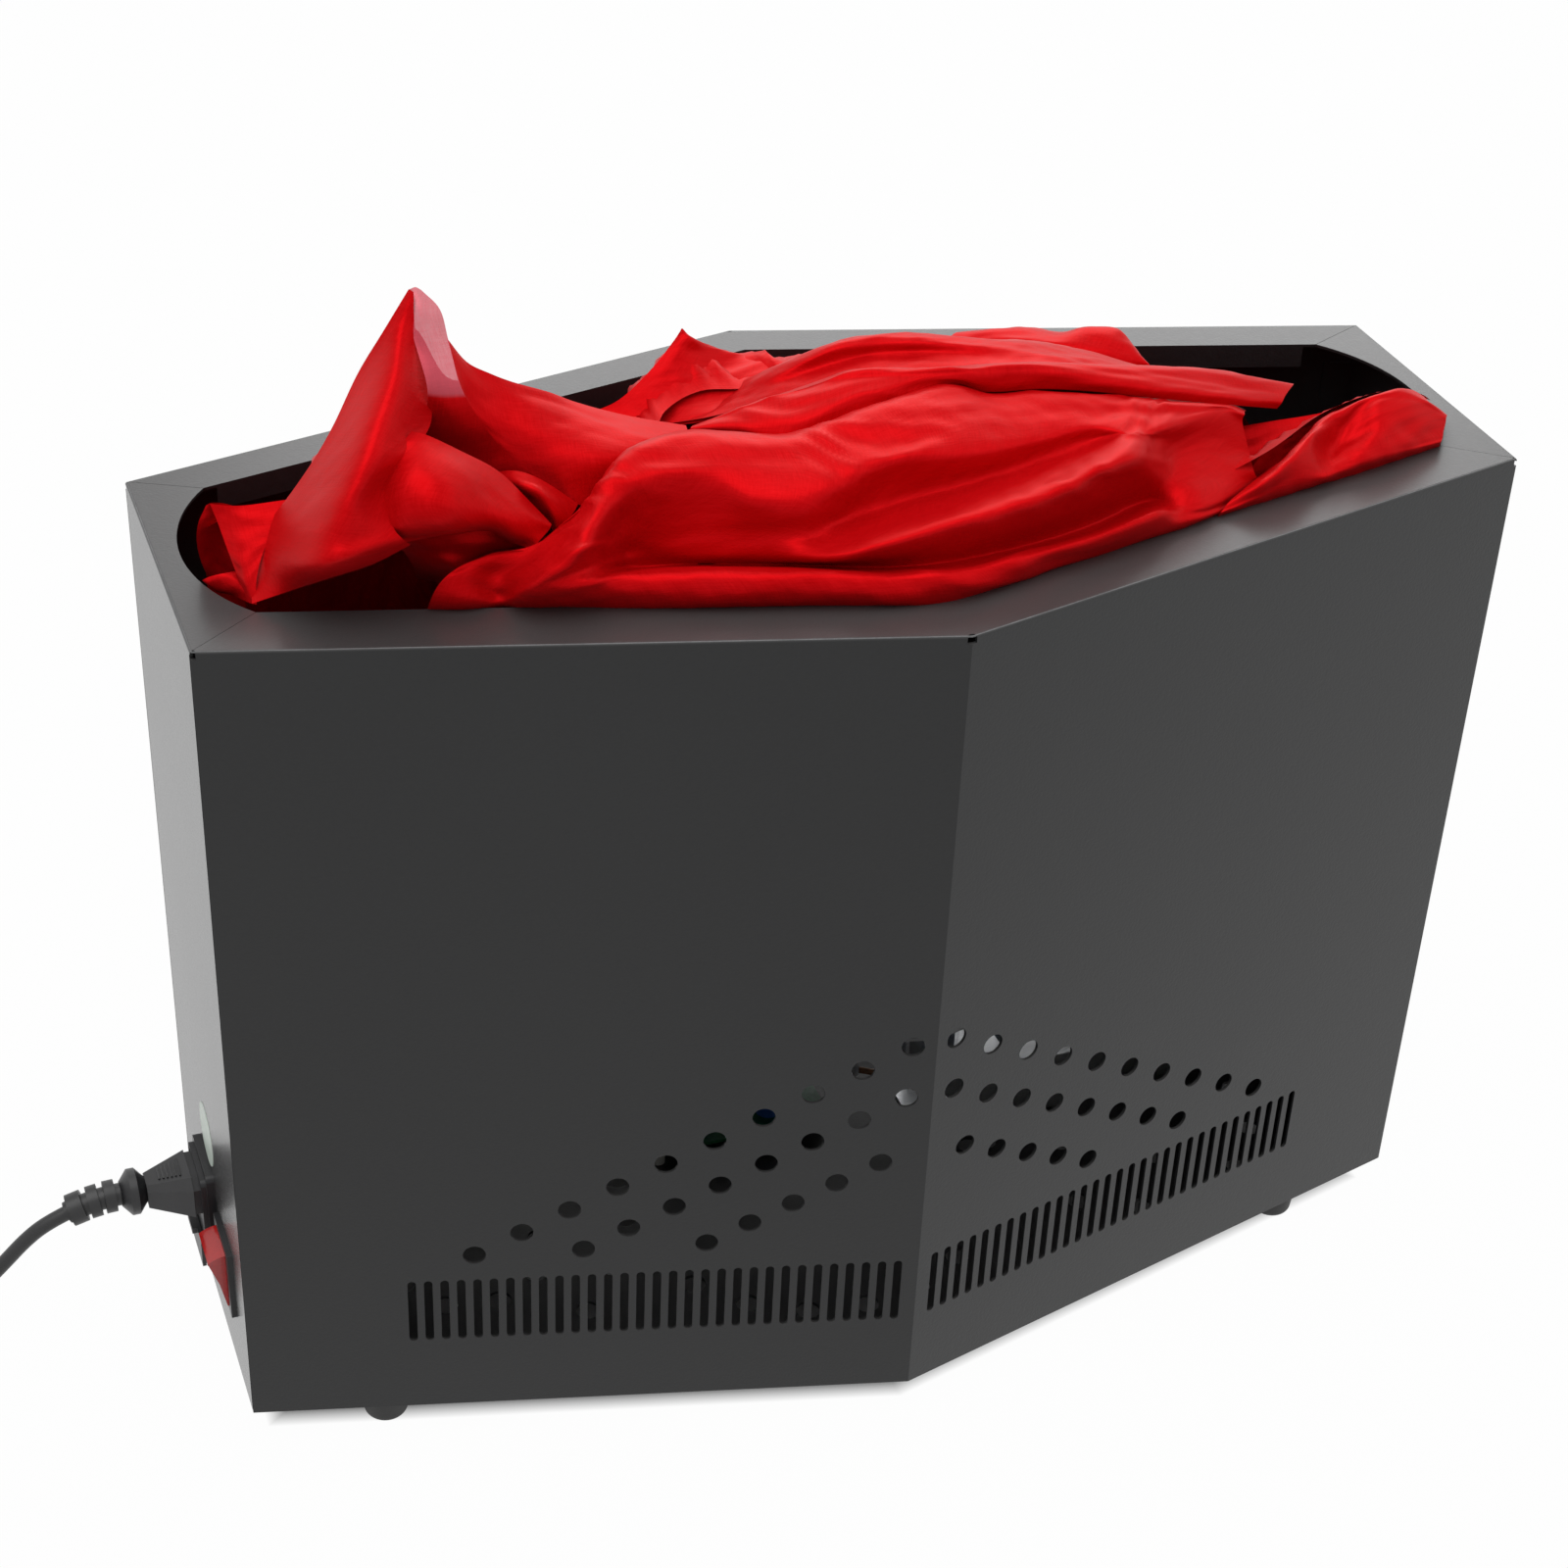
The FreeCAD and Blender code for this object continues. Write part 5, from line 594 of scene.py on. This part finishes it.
# wave lengths and depths in metres; a sheet's own "crease" scales its depth
folds = {"seed": 11, "seedStep": 10, "waves": 9, "creaseFrom": 0.018, "creaseTo": 0.05, "rippleFrom": 0.005,
         "rippleTo": 0.012, "ripple": 0.3, "lean": 0.35, "patchFrom": 0.08, "patchTo": 0.2, "patchLean": 1.5,
         "patchTurns": 2, "fade": 0.1, "depth": 0.0006, "backDepth": 0.0028, "backScale": 1.9,
         "fine": 12, "least": 1e-6, "leastArea": 1e-12}
silkSheets = {
    "left": {
        "cone": {"columns": 60, "steps": 8, "crease": 0.25, "lines": [
            [(417, 295, 460), (419, 296, 460), (422, 298, 460)],
            [(391, 338, 447), (408, 338, 449), (424, 337, 448)],
            [(365, 381, 433), (402, 384, 440), (437, 383, 433)],
            [(341, 432, 420), (385, 436, 430), (440, 430, 420)],
            [(322, 466, 410), (368, 474, 422), (420, 462, 418)],
            [(299, 500, 398), (350, 512, 412), (393, 499, 410)],
            [(272, 537, 385), (335, 552, 400), (401, 536, 400)],
            [(258, 570, 374), (330, 578, 392), (410, 549, 396)],
            [(257, 616, 365), (299, 602, 373), (340, 589, 380), (380, 576, 384), (419, 556, 392)]]},
        "inner": {"columns": 30, "steps": 8, "crease": 0.15, "thin": 3.2, "lines": [
            [(418, 295, 460), (424, 293, 460), (430, 296, 459)],
            [(412, 312, 455), (430, 314, 455), (449, 316, 453)],
            [(424, 352, 444), (440, 352, 444), (458, 349, 443)],
            [(436, 396, 432), (452, 397, 431), (471, 396, 430)],
            [(434, 430, 418), (462, 433, 417), (492, 432, 416)],
            [(430, 462, 404), (475, 466, 402), (520, 466, 401)],
            [(440, 495, 390), (500, 500, 388), (560, 496, 390)],
            [(450, 520, 378), (520, 525, 376), (592, 518, 380)]]},
        "flap": {"columns": 50, "steps": 8, "crease": 0.4, "lines": [
            [(420, 440, 424), (436, 444, 421), (470, 460, 414), (509, 481, 404), (545, 516, 392),
             (563, 535, 386)],
            [(398, 468, 417), (430, 474, 418), (466, 487, 413), (505, 503, 402), (540, 527, 392),
             (562, 537, 386)],
            [(385, 500, 409), (416, 510, 410), (455, 517, 408), (500, 524, 399), (535, 538, 390),
             (560, 541, 385)],
            [(390, 535, 400), (420, 541, 399), (460, 539, 399), (500, 537, 393), (528, 547, 387),
             (552, 550, 384)],
            [(405, 555, 392), (437, 549, 389), (465, 545, 389), (498, 542, 386), (516, 551, 383),
             (543, 561, 381)]]},
        "drape": {"columns": 60, "steps": 10, "crease": 0.5, "lines": [
            [(456, 345, 440), (476, 369, 430), (500, 381, 424), (524, 390, 418), (560, 400, 411),
             (590, 411, 404), (640, 424, 397), (700, 434, 391)],
            [(462, 366, 434), (484, 390, 424), (510, 403, 417), (545, 417, 411), (580, 428, 405),
             (620, 440, 400), (660, 450, 396), (705, 452, 390)],
            [(470, 396, 425), (485, 420, 415), (515, 437, 408), (550, 452, 403), (585, 464, 399),
             (620, 470, 396), (655, 470, 392), (700, 465, 387)],
            [(485, 426, 413), (500, 450, 404), (530, 477, 395), (560, 495, 389), (588, 514, 383),
             (612, 515, 380), (640, 500, 380), (690, 480, 380)]]},
        "foldFront": {"columns": 24, "steps": 8, "lines": [
            [(214, 514, 391), (245, 516, 391), (292, 510, 393)],
            [(222, 533, 385), (248, 536, 386), (285, 534, 387)],
            [(231, 558, 379), (248, 560, 380), (270, 560, 380)],
            [(242, 587, 371), (250, 590, 372), (262, 590, 372)],
            [(254, 615, 364), (257, 616, 364), (262, 617, 364)]]},
        "foldBack": {"columns": 24, "steps": 8, "lines": [
            [(210, 516, 390), (216, 513, 391), (230, 514, 388), (250, 520, 382)],
            [(202, 535, 383), (216, 530, 384), (232, 532, 380), (250, 540, 374)],
            [(201, 555, 375), (217, 552, 373), (235, 556, 370), (250, 562, 366)],
            [(206, 575, 366), (220, 572, 364), (238, 578, 362), (252, 584, 360)],
            [(213, 590, 358), (226, 590, 357), (242, 594, 356), (255, 600, 355)]]},
        "leaf": {"columns": 20, "steps": 6, "lines": [
            [(206, 592, 365), (215, 588, 367), (228, 585, 368), (244, 582, 368)],
            [(212, 597, 363), (224, 596, 364), (236, 595, 365), (249, 597, 365)],
            [(222, 603, 360), (232, 606, 360), (243, 610, 360), (256, 616, 361)]]},
        "roll": {"columns": 24, "steps": 6, "lines": [
            [(505, 482, 396), (522, 480, 398), (541, 484, 397), (562, 495, 392), (590, 514, 384)],
            [(512, 492, 395), (530, 494, 398), (550, 500, 397), (568, 512, 391), (586, 522, 384)],
            [(524, 502, 390), (540, 508, 392), (556, 516, 391), (568, 528, 387), (576, 536, 382)],
            [(540, 520, 382), (550, 528, 382), (560, 536, 380), (566, 546, 377), (560, 556, 374)]]},
        "under": {"columns": 30, "steps": 6, "lines": [
            [(400, 548, 384), (440, 545, 385), (490, 540, 384), (540, 548, 380), (580, 545, 378)],
            [(412, 563, 374), (445, 562, 377), (485, 562, 377), (525, 562, 373), (560, 562, 371)],
            [(420, 575, 366), (445, 580, 368), (474, 582, 369), (505, 570, 366), (545, 575, 362)],
            [(425, 590, 352), (450, 595, 352), (480, 600, 350), (510, 600, 346), (545, 600, 340)]]},
    },
    "centre": {
        "heap": {"columns": 150, "steps": 8, "lines": [
            [(437, 632, 352), (480, 632, 352), (515, 633, 350), (600, 630, 352), (700, 628, 354),
             (820, 624, 355), (968, 622, 355), (1080, 587, 354), (1203, 548, 353), (1262, 528, 352),
             (1290, 518, 350)],
            [(437, 619, 366), (475, 618, 367), (515, 619, 363), (537, 618, 366), (620, 616, 367),
             (700, 615, 368), (820, 613, 368), (968, 610, 367), (1080, 576, 367), (1150, 554, 367),
             (1203, 538, 366), (1240, 526, 365), (1290, 507, 362)],
            [(448, 596, 376), (475, 590, 377), (512, 606, 368), (541, 603, 376), (600, 596, 378),
             (629, 587, 378), (681, 583, 378), (779, 583, 378), (876, 585, 377), (928, 586, 376),
             (974, 582, 376), (1023, 572, 376), (1110, 549, 376), (1179, 523, 377), (1200, 526, 371),
             (1235, 520, 368), (1285, 498, 364)],
            [(466, 580, 380), (490, 576, 380), (514, 588, 374), (560, 588, 383), (608, 578, 380),
             (640, 580, 368), (700, 577, 367), (779, 577, 367), (850, 578, 369), (928, 578, 369),
             (985, 570, 369), (1030, 560, 369), (1105, 538, 369), (1165, 512, 369), (1205, 515, 372),
             (1240, 508, 371), (1285, 490, 366)],
            [(490, 569, 382), (510, 564, 382), (540, 572, 381), (590, 561, 392), (612, 560, 386),
             (640, 565, 373), (700, 565, 373), (775, 567, 374), (850, 568, 381), (900, 556, 386),
             (958, 540, 389), (1023, 521, 392), (1080, 502, 395), (1125, 480, 398), (1160, 470, 396),
             (1190, 478, 382), (1220, 470, 380), (1280, 482, 370)],
            [(509, 563, 383), (530, 561, 383), (560, 552, 387), (596, 545, 394), (616, 540, 392),
             (636, 540, 384), (700, 535, 384), (760, 540, 383), (820, 545, 383), (870, 527, 383),
             (930, 510, 385), (1000, 492, 388), (1060, 474, 390), (1120, 452, 394), (1160, 446, 399),
             (1196, 452, 388), (1230, 448, 385), (1275, 462, 374)],
            [(545, 561, 383), (556, 553, 385), (578, 538, 391), (604, 520, 398), (622, 505, 401),
             (645, 499, 401), (700, 488, 402), (737, 496, 399), (772, 510, 396), (830, 506, 397),
             (893, 480, 400), (950, 466, 402), (1000, 462, 400), (1060, 448, 399), (1110, 436, 399),
             (1170, 440, 398), (1215, 430, 394), (1245, 424, 391), (1268, 432, 384)],
            [(547, 558, 383), (570, 538, 388), (590, 522, 394), (612, 495, 402), (632, 481, 405),
             (660, 472, 406), (700, 465, 406), (745, 466, 405), (800, 470, 403), (860, 458, 404),
             (920, 442, 406), (975, 430, 406), (1040, 424, 403), (1100, 420, 401), (1170, 422, 399),
             (1220, 420, 395), (1248, 417, 392), (1270, 423, 388)],
            [(548, 556, 382), (568, 540, 386), (588, 524, 392), (612, 491, 400), (636, 462, 406),
             (665, 449, 408), (700, 441, 408), (745, 443, 407), (805, 444, 405), (868, 424, 408),
             (930, 403, 410), (972, 394, 409), (1012, 403, 405), (1062, 401, 404), (1120, 404, 402),
             (1185, 410, 399), (1230, 413, 395), (1255, 415, 391), (1270, 420, 386)],
            [(550, 556, 374), (570, 542, 376), (592, 524, 380), (616, 492, 386), (642, 462, 392),
             (672, 447, 396), (705, 438, 399), (745, 440, 398), (808, 442, 397), (870, 422, 400),
             (935, 400, 403), (975, 392, 402), (1012, 400, 399), (1062, 398, 398), (1120, 400, 396),
             (1185, 406, 393), (1230, 410, 389), (1258, 413, 385), (1272, 419, 380)]]},
        "topSheet": {"columns": 120, "steps": 8, "lines": [
            [(700, 447, 392), (745, 446, 394), (805, 447, 397), (870, 424, 402), (935, 402, 406),
             (975, 392, 407), (1008, 400, 403), (1062, 397, 402), (1120, 400, 400), (1185, 407, 396),
             (1266, 414, 386), (1303, 417, 378)],
            [(704, 438, 396), (745, 434, 398), (800, 428, 402), (862, 408, 407), (930, 392, 410),
             (975, 388, 410), (1010, 392, 407), (1062, 388, 406), (1125, 392, 404), (1190, 397, 400),
             (1262, 405, 390), (1308, 411, 381)],
            [(706, 435, 396), (742, 424, 399), (792, 407, 404), (850, 390, 409), (920, 383, 412),
             (985, 380, 412), (1050, 378, 410), (1115, 381, 407), (1190, 385, 401), (1260, 394, 391),
             (1312, 403, 382)],
            [(708, 434, 394), (741, 421, 398), (792, 403, 403), (841, 387, 408), (872, 377, 411),
             (925, 376, 412), (990, 373, 412), (1055, 370, 410), (1120, 372, 406), (1185, 374, 401),
             (1245, 378, 394), (1290, 387, 387), (1320, 392, 381)],
            [(712, 436, 384), (745, 424, 388), (795, 406, 392), (846, 390, 396), (880, 380, 398),
             (930, 378, 399), (992, 375, 399), (1057, 372, 397), (1122, 374, 394), (1187, 376, 389),
             (1245, 381, 384), (1290, 389, 379), (1318, 395, 374)]]},
        "rearSheet": {"columns": 90, "steps": 8, "lines": [
            [(672, 434, 382), (730, 424, 385), (792, 405, 393), (846, 391, 400), (900, 384, 402),
             (980, 380, 402), (1060, 376, 401), (1120, 378, 398), (1180, 384, 392)],
            [(675, 432, 381), (735, 412, 385), (790, 393, 394), (850, 372, 400), (905, 362, 402),
             (980, 362, 403), (1060, 364, 401), (1120, 372, 396), (1176, 380, 389)],
            [(678, 430, 381), (740, 402, 385), (785, 384, 395), (845, 358, 405), (895, 350, 406),
             (960, 350, 406), (1040, 354, 402), (1110, 364, 395), (1170, 376, 386)],
            [(682, 429, 380), (745, 396, 384), (790, 374, 394), (847, 351, 403), (893, 342, 405),
             (942, 342, 405), (1007, 346, 401), (1055, 348, 397), (1110, 358, 390), (1165, 374, 381)],
            [(690, 432, 376), (755, 400, 377), (800, 378, 378), (850, 357, 384), (895, 348, 386),
             (945, 347, 386), (1009, 350, 382), (1057, 352, 378), (1112, 362, 372), (1165, 378, 364)]]},
        "peak": {"columns": 40, "steps": 8, "lines": [
            [(606, 420, 384), (650, 430, 382), (695, 433, 382), (745, 424, 384), (800, 404, 388),
             (835, 384, 390)],
            [(630, 409, 387), (665, 410, 386), (700, 407, 386), (745, 398, 387), (795, 382, 389),
             (822, 374, 390)],
            [(652, 390, 391), (678, 388, 391), (704, 383, 391), (745, 374, 389), (785, 369, 389),
             (806, 368, 388)],
            [(672, 368, 396), (690, 364, 397), (708, 361, 396), (738, 360, 392), (768, 363, 388),
             (785, 364, 386)],
            [(688, 347, 401), (696, 345, 402), (706, 347, 401), (722, 352, 396), (740, 358, 391),
             (752, 361, 388)],
            [(694, 338, 404), (696, 335, 405), (700, 339, 403), (707, 346, 400), (715, 350, 397),
             (722, 353, 394)]]},
        "rearPiece": {"columns": 50, "steps": 6, "lines": [
            [(960, 352, 376), (1010, 352, 378), (1060, 356, 378), (1110, 366, 376), (1150, 376, 372),
             (1180, 380, 368)],
            [(968, 345, 377), (1015, 343, 380), (1060, 347, 381), (1105, 352, 380), (1140, 358, 378),
             (1174, 374, 372)],
            [(976, 339, 377), (1020, 335, 380), (1050, 334, 380), (1081, 339, 379), (1106, 334, 382),
             (1137, 335, 382), (1151, 346, 379), (1172, 371, 372)],
            [(982, 341, 371), (1022, 338, 373), (1050, 337, 373), (1081, 342, 372), (1106, 337, 374),
             (1136, 339, 374), (1149, 350, 371), (1168, 373, 365)]]},
    },
    "right": {
        "heap": {"columns": 80, "steps": 8, "lines": [
            [(1235, 538, 352), (1290, 522, 353), (1350, 502, 353), (1410, 483, 353), (1470, 464, 353)],
            [(1243, 526, 365), (1290, 510, 366), (1350, 491, 367), (1410, 472, 367), (1470, 453, 366)],
            [(1248, 520, 367), (1292, 500, 371), (1330, 478, 375), (1352, 480, 371), (1372, 470, 372),
             (1400, 460, 374), (1436, 455, 371), (1472, 447, 368)],
            [(1256, 510, 369), (1296, 488, 376), (1332, 462, 380), (1358, 462, 372), (1385, 446, 376),
             (1410, 436, 380), (1440, 440, 375), (1473, 440, 370)],
            [(1268, 500, 369), (1300, 478, 376), (1338, 445, 383), (1364, 440, 377), (1386, 430, 380),
             (1408, 420, 384), (1440, 425, 380), (1475, 432, 372)],
            [(1280, 490, 368), (1310, 468, 374), (1346, 431, 382), (1368, 424, 383), (1388, 415, 384),
             (1412, 406, 387), (1440, 409, 384), (1476, 425, 374)],
            [(1288, 484, 366), (1318, 462, 372), (1352, 427, 379), (1368, 418, 383), (1396, 406, 385),
             (1426, 397, 387), (1446, 401, 384), (1462, 412, 379), (1477, 424, 372)],
            [(1292, 486, 358), (1324, 464, 362), (1358, 430, 368), (1372, 421, 372), (1398, 409, 373),
             (1427, 401, 375), (1446, 405, 372), (1460, 415, 368), (1474, 426, 362)]]},
        "dimSheet": {"columns": 40, "steps": 6, "lines": [
            [(1250, 438, 372), (1296, 430, 373), (1345, 422, 374), (1400, 408, 375)],
            [(1255, 455, 368), (1300, 448, 369), (1345, 440, 370), (1390, 428, 370)],
            [(1262, 472, 364), (1300, 468, 364), (1335, 460, 364), (1370, 450, 364)],
            [(1275, 492, 358), (1300, 488, 358), (1325, 484, 358), (1350, 478, 358)]]},
    },
}
backs = {
    "columns": 46, "steps": 8,
    "left": [
        (-236, [(-12, 382), (-4, 377), (0, 368), (0, 352), (-2, 335), (-4, 315)]),
        (-225, [(-12, 386), (-2, 379), (3, 366), (4, 350), (2, 330), (0, 310)]),
        (-212, [(-26, 390), (-13, 384), (-2, 372), (8, 356), (12, 338), (12, 310)]),
        (-200, [(-30, 411), (-15, 402), (0, 385), (12, 367), (20, 345), (21, 310)]),
        (-185, [(-20, 427), (-7, 414), (6, 393), (18, 369), (26, 342), (27, 305)]),
        (-172, [(-10, 438), (1, 420), (10, 396), (20, 371), (28, 344), (29, 305)]),
        (-162, [(-11, 446), (0, 422), (11, 396), (20, 371), (28, 344), (29, 305)]),
        (-150, [(-6, 424), (5, 408), (14, 388), (22, 369), (28, 344), (29, 305)]),
        (-135, [(-7, 421), (7, 404), (16, 385), (24, 366), (28, 342), (29, 305)]),
        (-118, [(-7, 407), (7, 395), (16, 380), (23, 363), (27, 342), (28, 305)]),
        (-102, [(-5, 401), (7, 389), (15, 375), (21, 359), (25, 340), (26, 305)]),
        (-90, [(-8, 396), (2, 387), (10, 374), (16, 358), (19, 340), (20, 305)])],
    "centre": [
        (-108, [(-4, 388), (8, 382), (19, 370), (26, 354), (30, 330), (31, 298)]),
        (-92, [(-2, 389), (12, 383), (24, 371), (33, 355), (38, 330), (39, 298)]),
        (-75, [(0, 386), (16, 381), (32, 371), (44, 356), (52, 335), (54, 300)]),
        (-62, [(20, 387), (36, 388), (52, 383), (67, 370), (77, 345), (79, 305)]),
        (-45, [(30, 388), (46, 392), (60, 388), (73, 372), (83, 345), (85, 300)]),
        (-25, [(28, 388), (46, 388), (60, 384), (77, 371), (88, 345), (90, 300)]),
        (0, [(26, 396), (44, 387), (62, 381), (79, 370), (92, 345), (94, 300)]),
        (30, [(26, 400), (44, 390), (60, 382), (77, 370), (88, 345), (90, 300)]),
        (50, [(24, 398), (42, 390), (58, 382), (73, 370), (84, 345), (86, 300)]),
        (70, [(24, 394), (42, 386), (58, 379), (73, 369), (80, 345), (82, 300)]),
        (90, [(22, 391), (42, 381), (58, 375), (71, 367), (77, 345), (79, 300)]),
        (110, [(20, 385), (40, 376), (56, 371), (67, 363), (72, 340), (74, 295)]),
        (128, [(16, 380), (36, 374), (52, 369), (63, 359), (68, 335), (69, 290)]),
        (145, [(4, 381), (24, 371), (42, 365), (55, 351), (61, 325), (62, 285)]),
        (155, [(-2, 376), (12, 366), (26, 353), (36, 335), (40, 310), (40, 280)]),
        (162, [(-16, 368), (-5, 358), (6, 345), (14, 330), (18, 308), (18, 280)]),
        (161, [(-34, 362), (-26, 352), (-18, 340), (-12, 325), (-10, 305), (-10, 285)]),
        (152, [(-50, 356), (-44, 347), (-38, 336), (-34, 322), (-33, 305), (-33, 290)])],
    "right": [
        (122, [(-58, 370), (-50, 371), (-42, 365), (-38, 350), (-38, 330), (-38, 300)]),
        (150, [(-52, 377), (-44, 373), (-38, 363), (-36, 348), (-36, 325), (-36, 295)]),
        (178, [(-38, 381), (-31, 375), (-26, 365), (-25, 350), (-26, 325), (-28, 295)]),
        (200, [(-32, 383), (-24, 377), (-18, 366), (-17, 350), (-19, 325), (-22, 295)]),
        (214, [(-29, 382), (-20, 375), (-13, 365), (-12, 350), (-14, 325), (-18, 300)]),
        (228, [(-27, 378), (-18, 373), (-11, 365), (-10, 352), (-12, 335), (-16, 318)]),
        (238, [(-22, 371), (-14, 370), (-9, 366), (-8, 360), (-10, 352), (-14, 345)])],
}


def makeSilk(side):
    vertices, faces, spots, thin = [], [], [], []
    sheets = [(frontPoints(sheet), sheet.get("thin", 0) * sheet["steps"],
               folds["depth"] * sheet.get("crease", 1), 1) for sheet in silkSheets[side].values()]
    sheets.append((backPoints(backs[side]), 0, folds["backDepth"], folds["backScale"]))
    for number, (points, thinRows, depth, scale) in enumerate(sheets):
        points = folded(points, folds["seed"] + folds["seedStep"] * number, depth, scale)
        rows, columns = points.shape[:2]
        along, down = lengths(points)
        first = len(vertices)
        vertices += [tuple(point) for point in points.reshape(-1, 3)]
        spots += list(zip(along.ravel(), down.ravel()))
        thin += [float(i < thinRows) for i in range(rows) for _ in range(columns)]
        for i in range(rows - 1):
            for j in range(columns - 1):
                corner = first + i * columns + j
                faces.append((corner, corner + columns, corner + columns + 1, corner + 1))
    mesh = bpy.data.meshes.new("silk" + side.capitalize())
    mesh.from_pydata(vertices, [], faces)
    corners = np.zeros(len(mesh.loops), np.int32)
    mesh.loops.foreach_get("vertex_index", corners)
    mesh.uv_layers.new(name="UVMap").data.foreach_set("uv", np.array(spots, np.float32)[corners].ravel())
    mesh.attributes.new("thin", "FLOAT", "POINT").data.foreach_set("value", thin)
    mesh.polygons.foreach_set("use_smooth", [True] * len(mesh.polygons))
    silk = newObject(mesh.name, mesh, "silk")
    area = sum(face.area for face in mesh.polygons)
    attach(silk, "housing")
    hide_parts("silk_" + side)
    area / cutWidth
    print("silk %s laid, %.2f square metres" % (side, area))


cutWidth = 0.3   # metres, the width the silks are cut to
for side in ("left", "centre", "right"):
    makeSilk(side)

# floor, light and backdrop
# metres; under the housing the floor keeps its own shade; "sky" is the strength of the world's plain light
stage = {"reach": 4, "glow": 0.98, "middle": 0.0045, "halfDepth": 0.1255, "halfLength": 0.253, "slope": 0.251,
         "shadeFrom": 0.006, "shadeTo": 0.016, "sky": 0.44, "aim": (0, 0, 0.25)}
floorMesh = bpy.data.meshes.new("floor")
reach = stage["reach"]
floorMesh.from_pydata([(-reach, -reach, 0), (reach, -reach, 0), (reach, reach, 0), (-reach, reach, 0)], [],
                      [(0, 1, 2, 3)])
floor = bpy.data.objects.new("floor", floorMesh)
scene.collection.objects.link(floor)
paper = Finish("paleFloor", {"Base Color": (0.5, 0.5, 0.5, 1), "Roughness": 0.9})


def paperMath(kind, *values):
    return paper.add("ShaderNodeMath", {"operation": kind}, dict(enumerate(values)))


def outside(distance):
    # 1 outside the housing's outline and 0 well inside it
    return paper.add("ShaderNodeMapRange", {}, {"Value": distance, "From Min": stage["shadeFrom"],
                                                "From Max": stage["shadeTo"], "To Min": 1.0, "To Max": 0.0})


floorSpot = paper.add("ShaderNodeTexCoord", {}, {}, "Object")
across, deep = [paper.add("ShaderNodeSeparateXYZ", {}, {0: floorSpot}, axis) for axis in (0, 1)]
fromMiddle = paperMath("ABSOLUTE", across - stage["middle"])
inside = stage["halfDepth"] - fromMiddle * stage["slope"] - paperMath("ABSOLUTE", deep)
lit = paperMath("MAXIMUM", outside(inside), outside(stage["halfLength"] - fromMiddle))
glow = paper.add("ShaderNodeEmission", {}, {"Color": (1, 1, 1, 1), "Strength": 1.0})
blend = paper.add("ShaderNodeMixShader", {}, {0: paper.seen() * lit * stage["glow"],
                                              1: Wire(paper, paper.shader.outputs[0]), 2: glow})
paper.feed(paper.tree.nodes["Material Output"].inputs["Surface"], blend)
paper.material.cycles.emission_sampling = "NONE"
floorMesh.materials.append(paper.material)

world = bpy.data.worlds.new("studio")
world.use_nodes = True
world.cycles.sampling_method = "NONE"
scene.world = world
sky = Shading(world.node_tree)
shade = world.node_tree.nodes["Background"]
shade.inputs["Color"].default_value = (1, 1, 1, 1)
level = sky.add("ShaderNodeMapRange", {}, {"Value": sky.seen(), "To Min": stage["sky"], "To Max": 1.0})
sky.feed(shade.inputs["Strength"], level)

lamps = {
    "key": {"place": (-0.45, -0.25, 2.1), "size": 1.9, "power": 25},
    "fill": {"place": (1.6, -0.7, 1.3), "size": 1.4, "power": 4},
    "back": {"place": (0.8, 1.75, 1.5), "size": 1.5, "power": 15},
}
for name, lamp in lamps.items():
    data = bpy.data.lights.new(name, "AREA")
    data.energy = lamp["power"]
    data.size = lamp["size"]
    made = bpy.data.objects.new(name, data)
    scene.collection.objects.link(made)
    made.location = lamp["place"]
    way = Vector(stage["aim"]) - Vector(lamp["place"])
    made.rotation_euler = way.to_track_quat("-Z", "Y").to_euler()
print("stage lit")
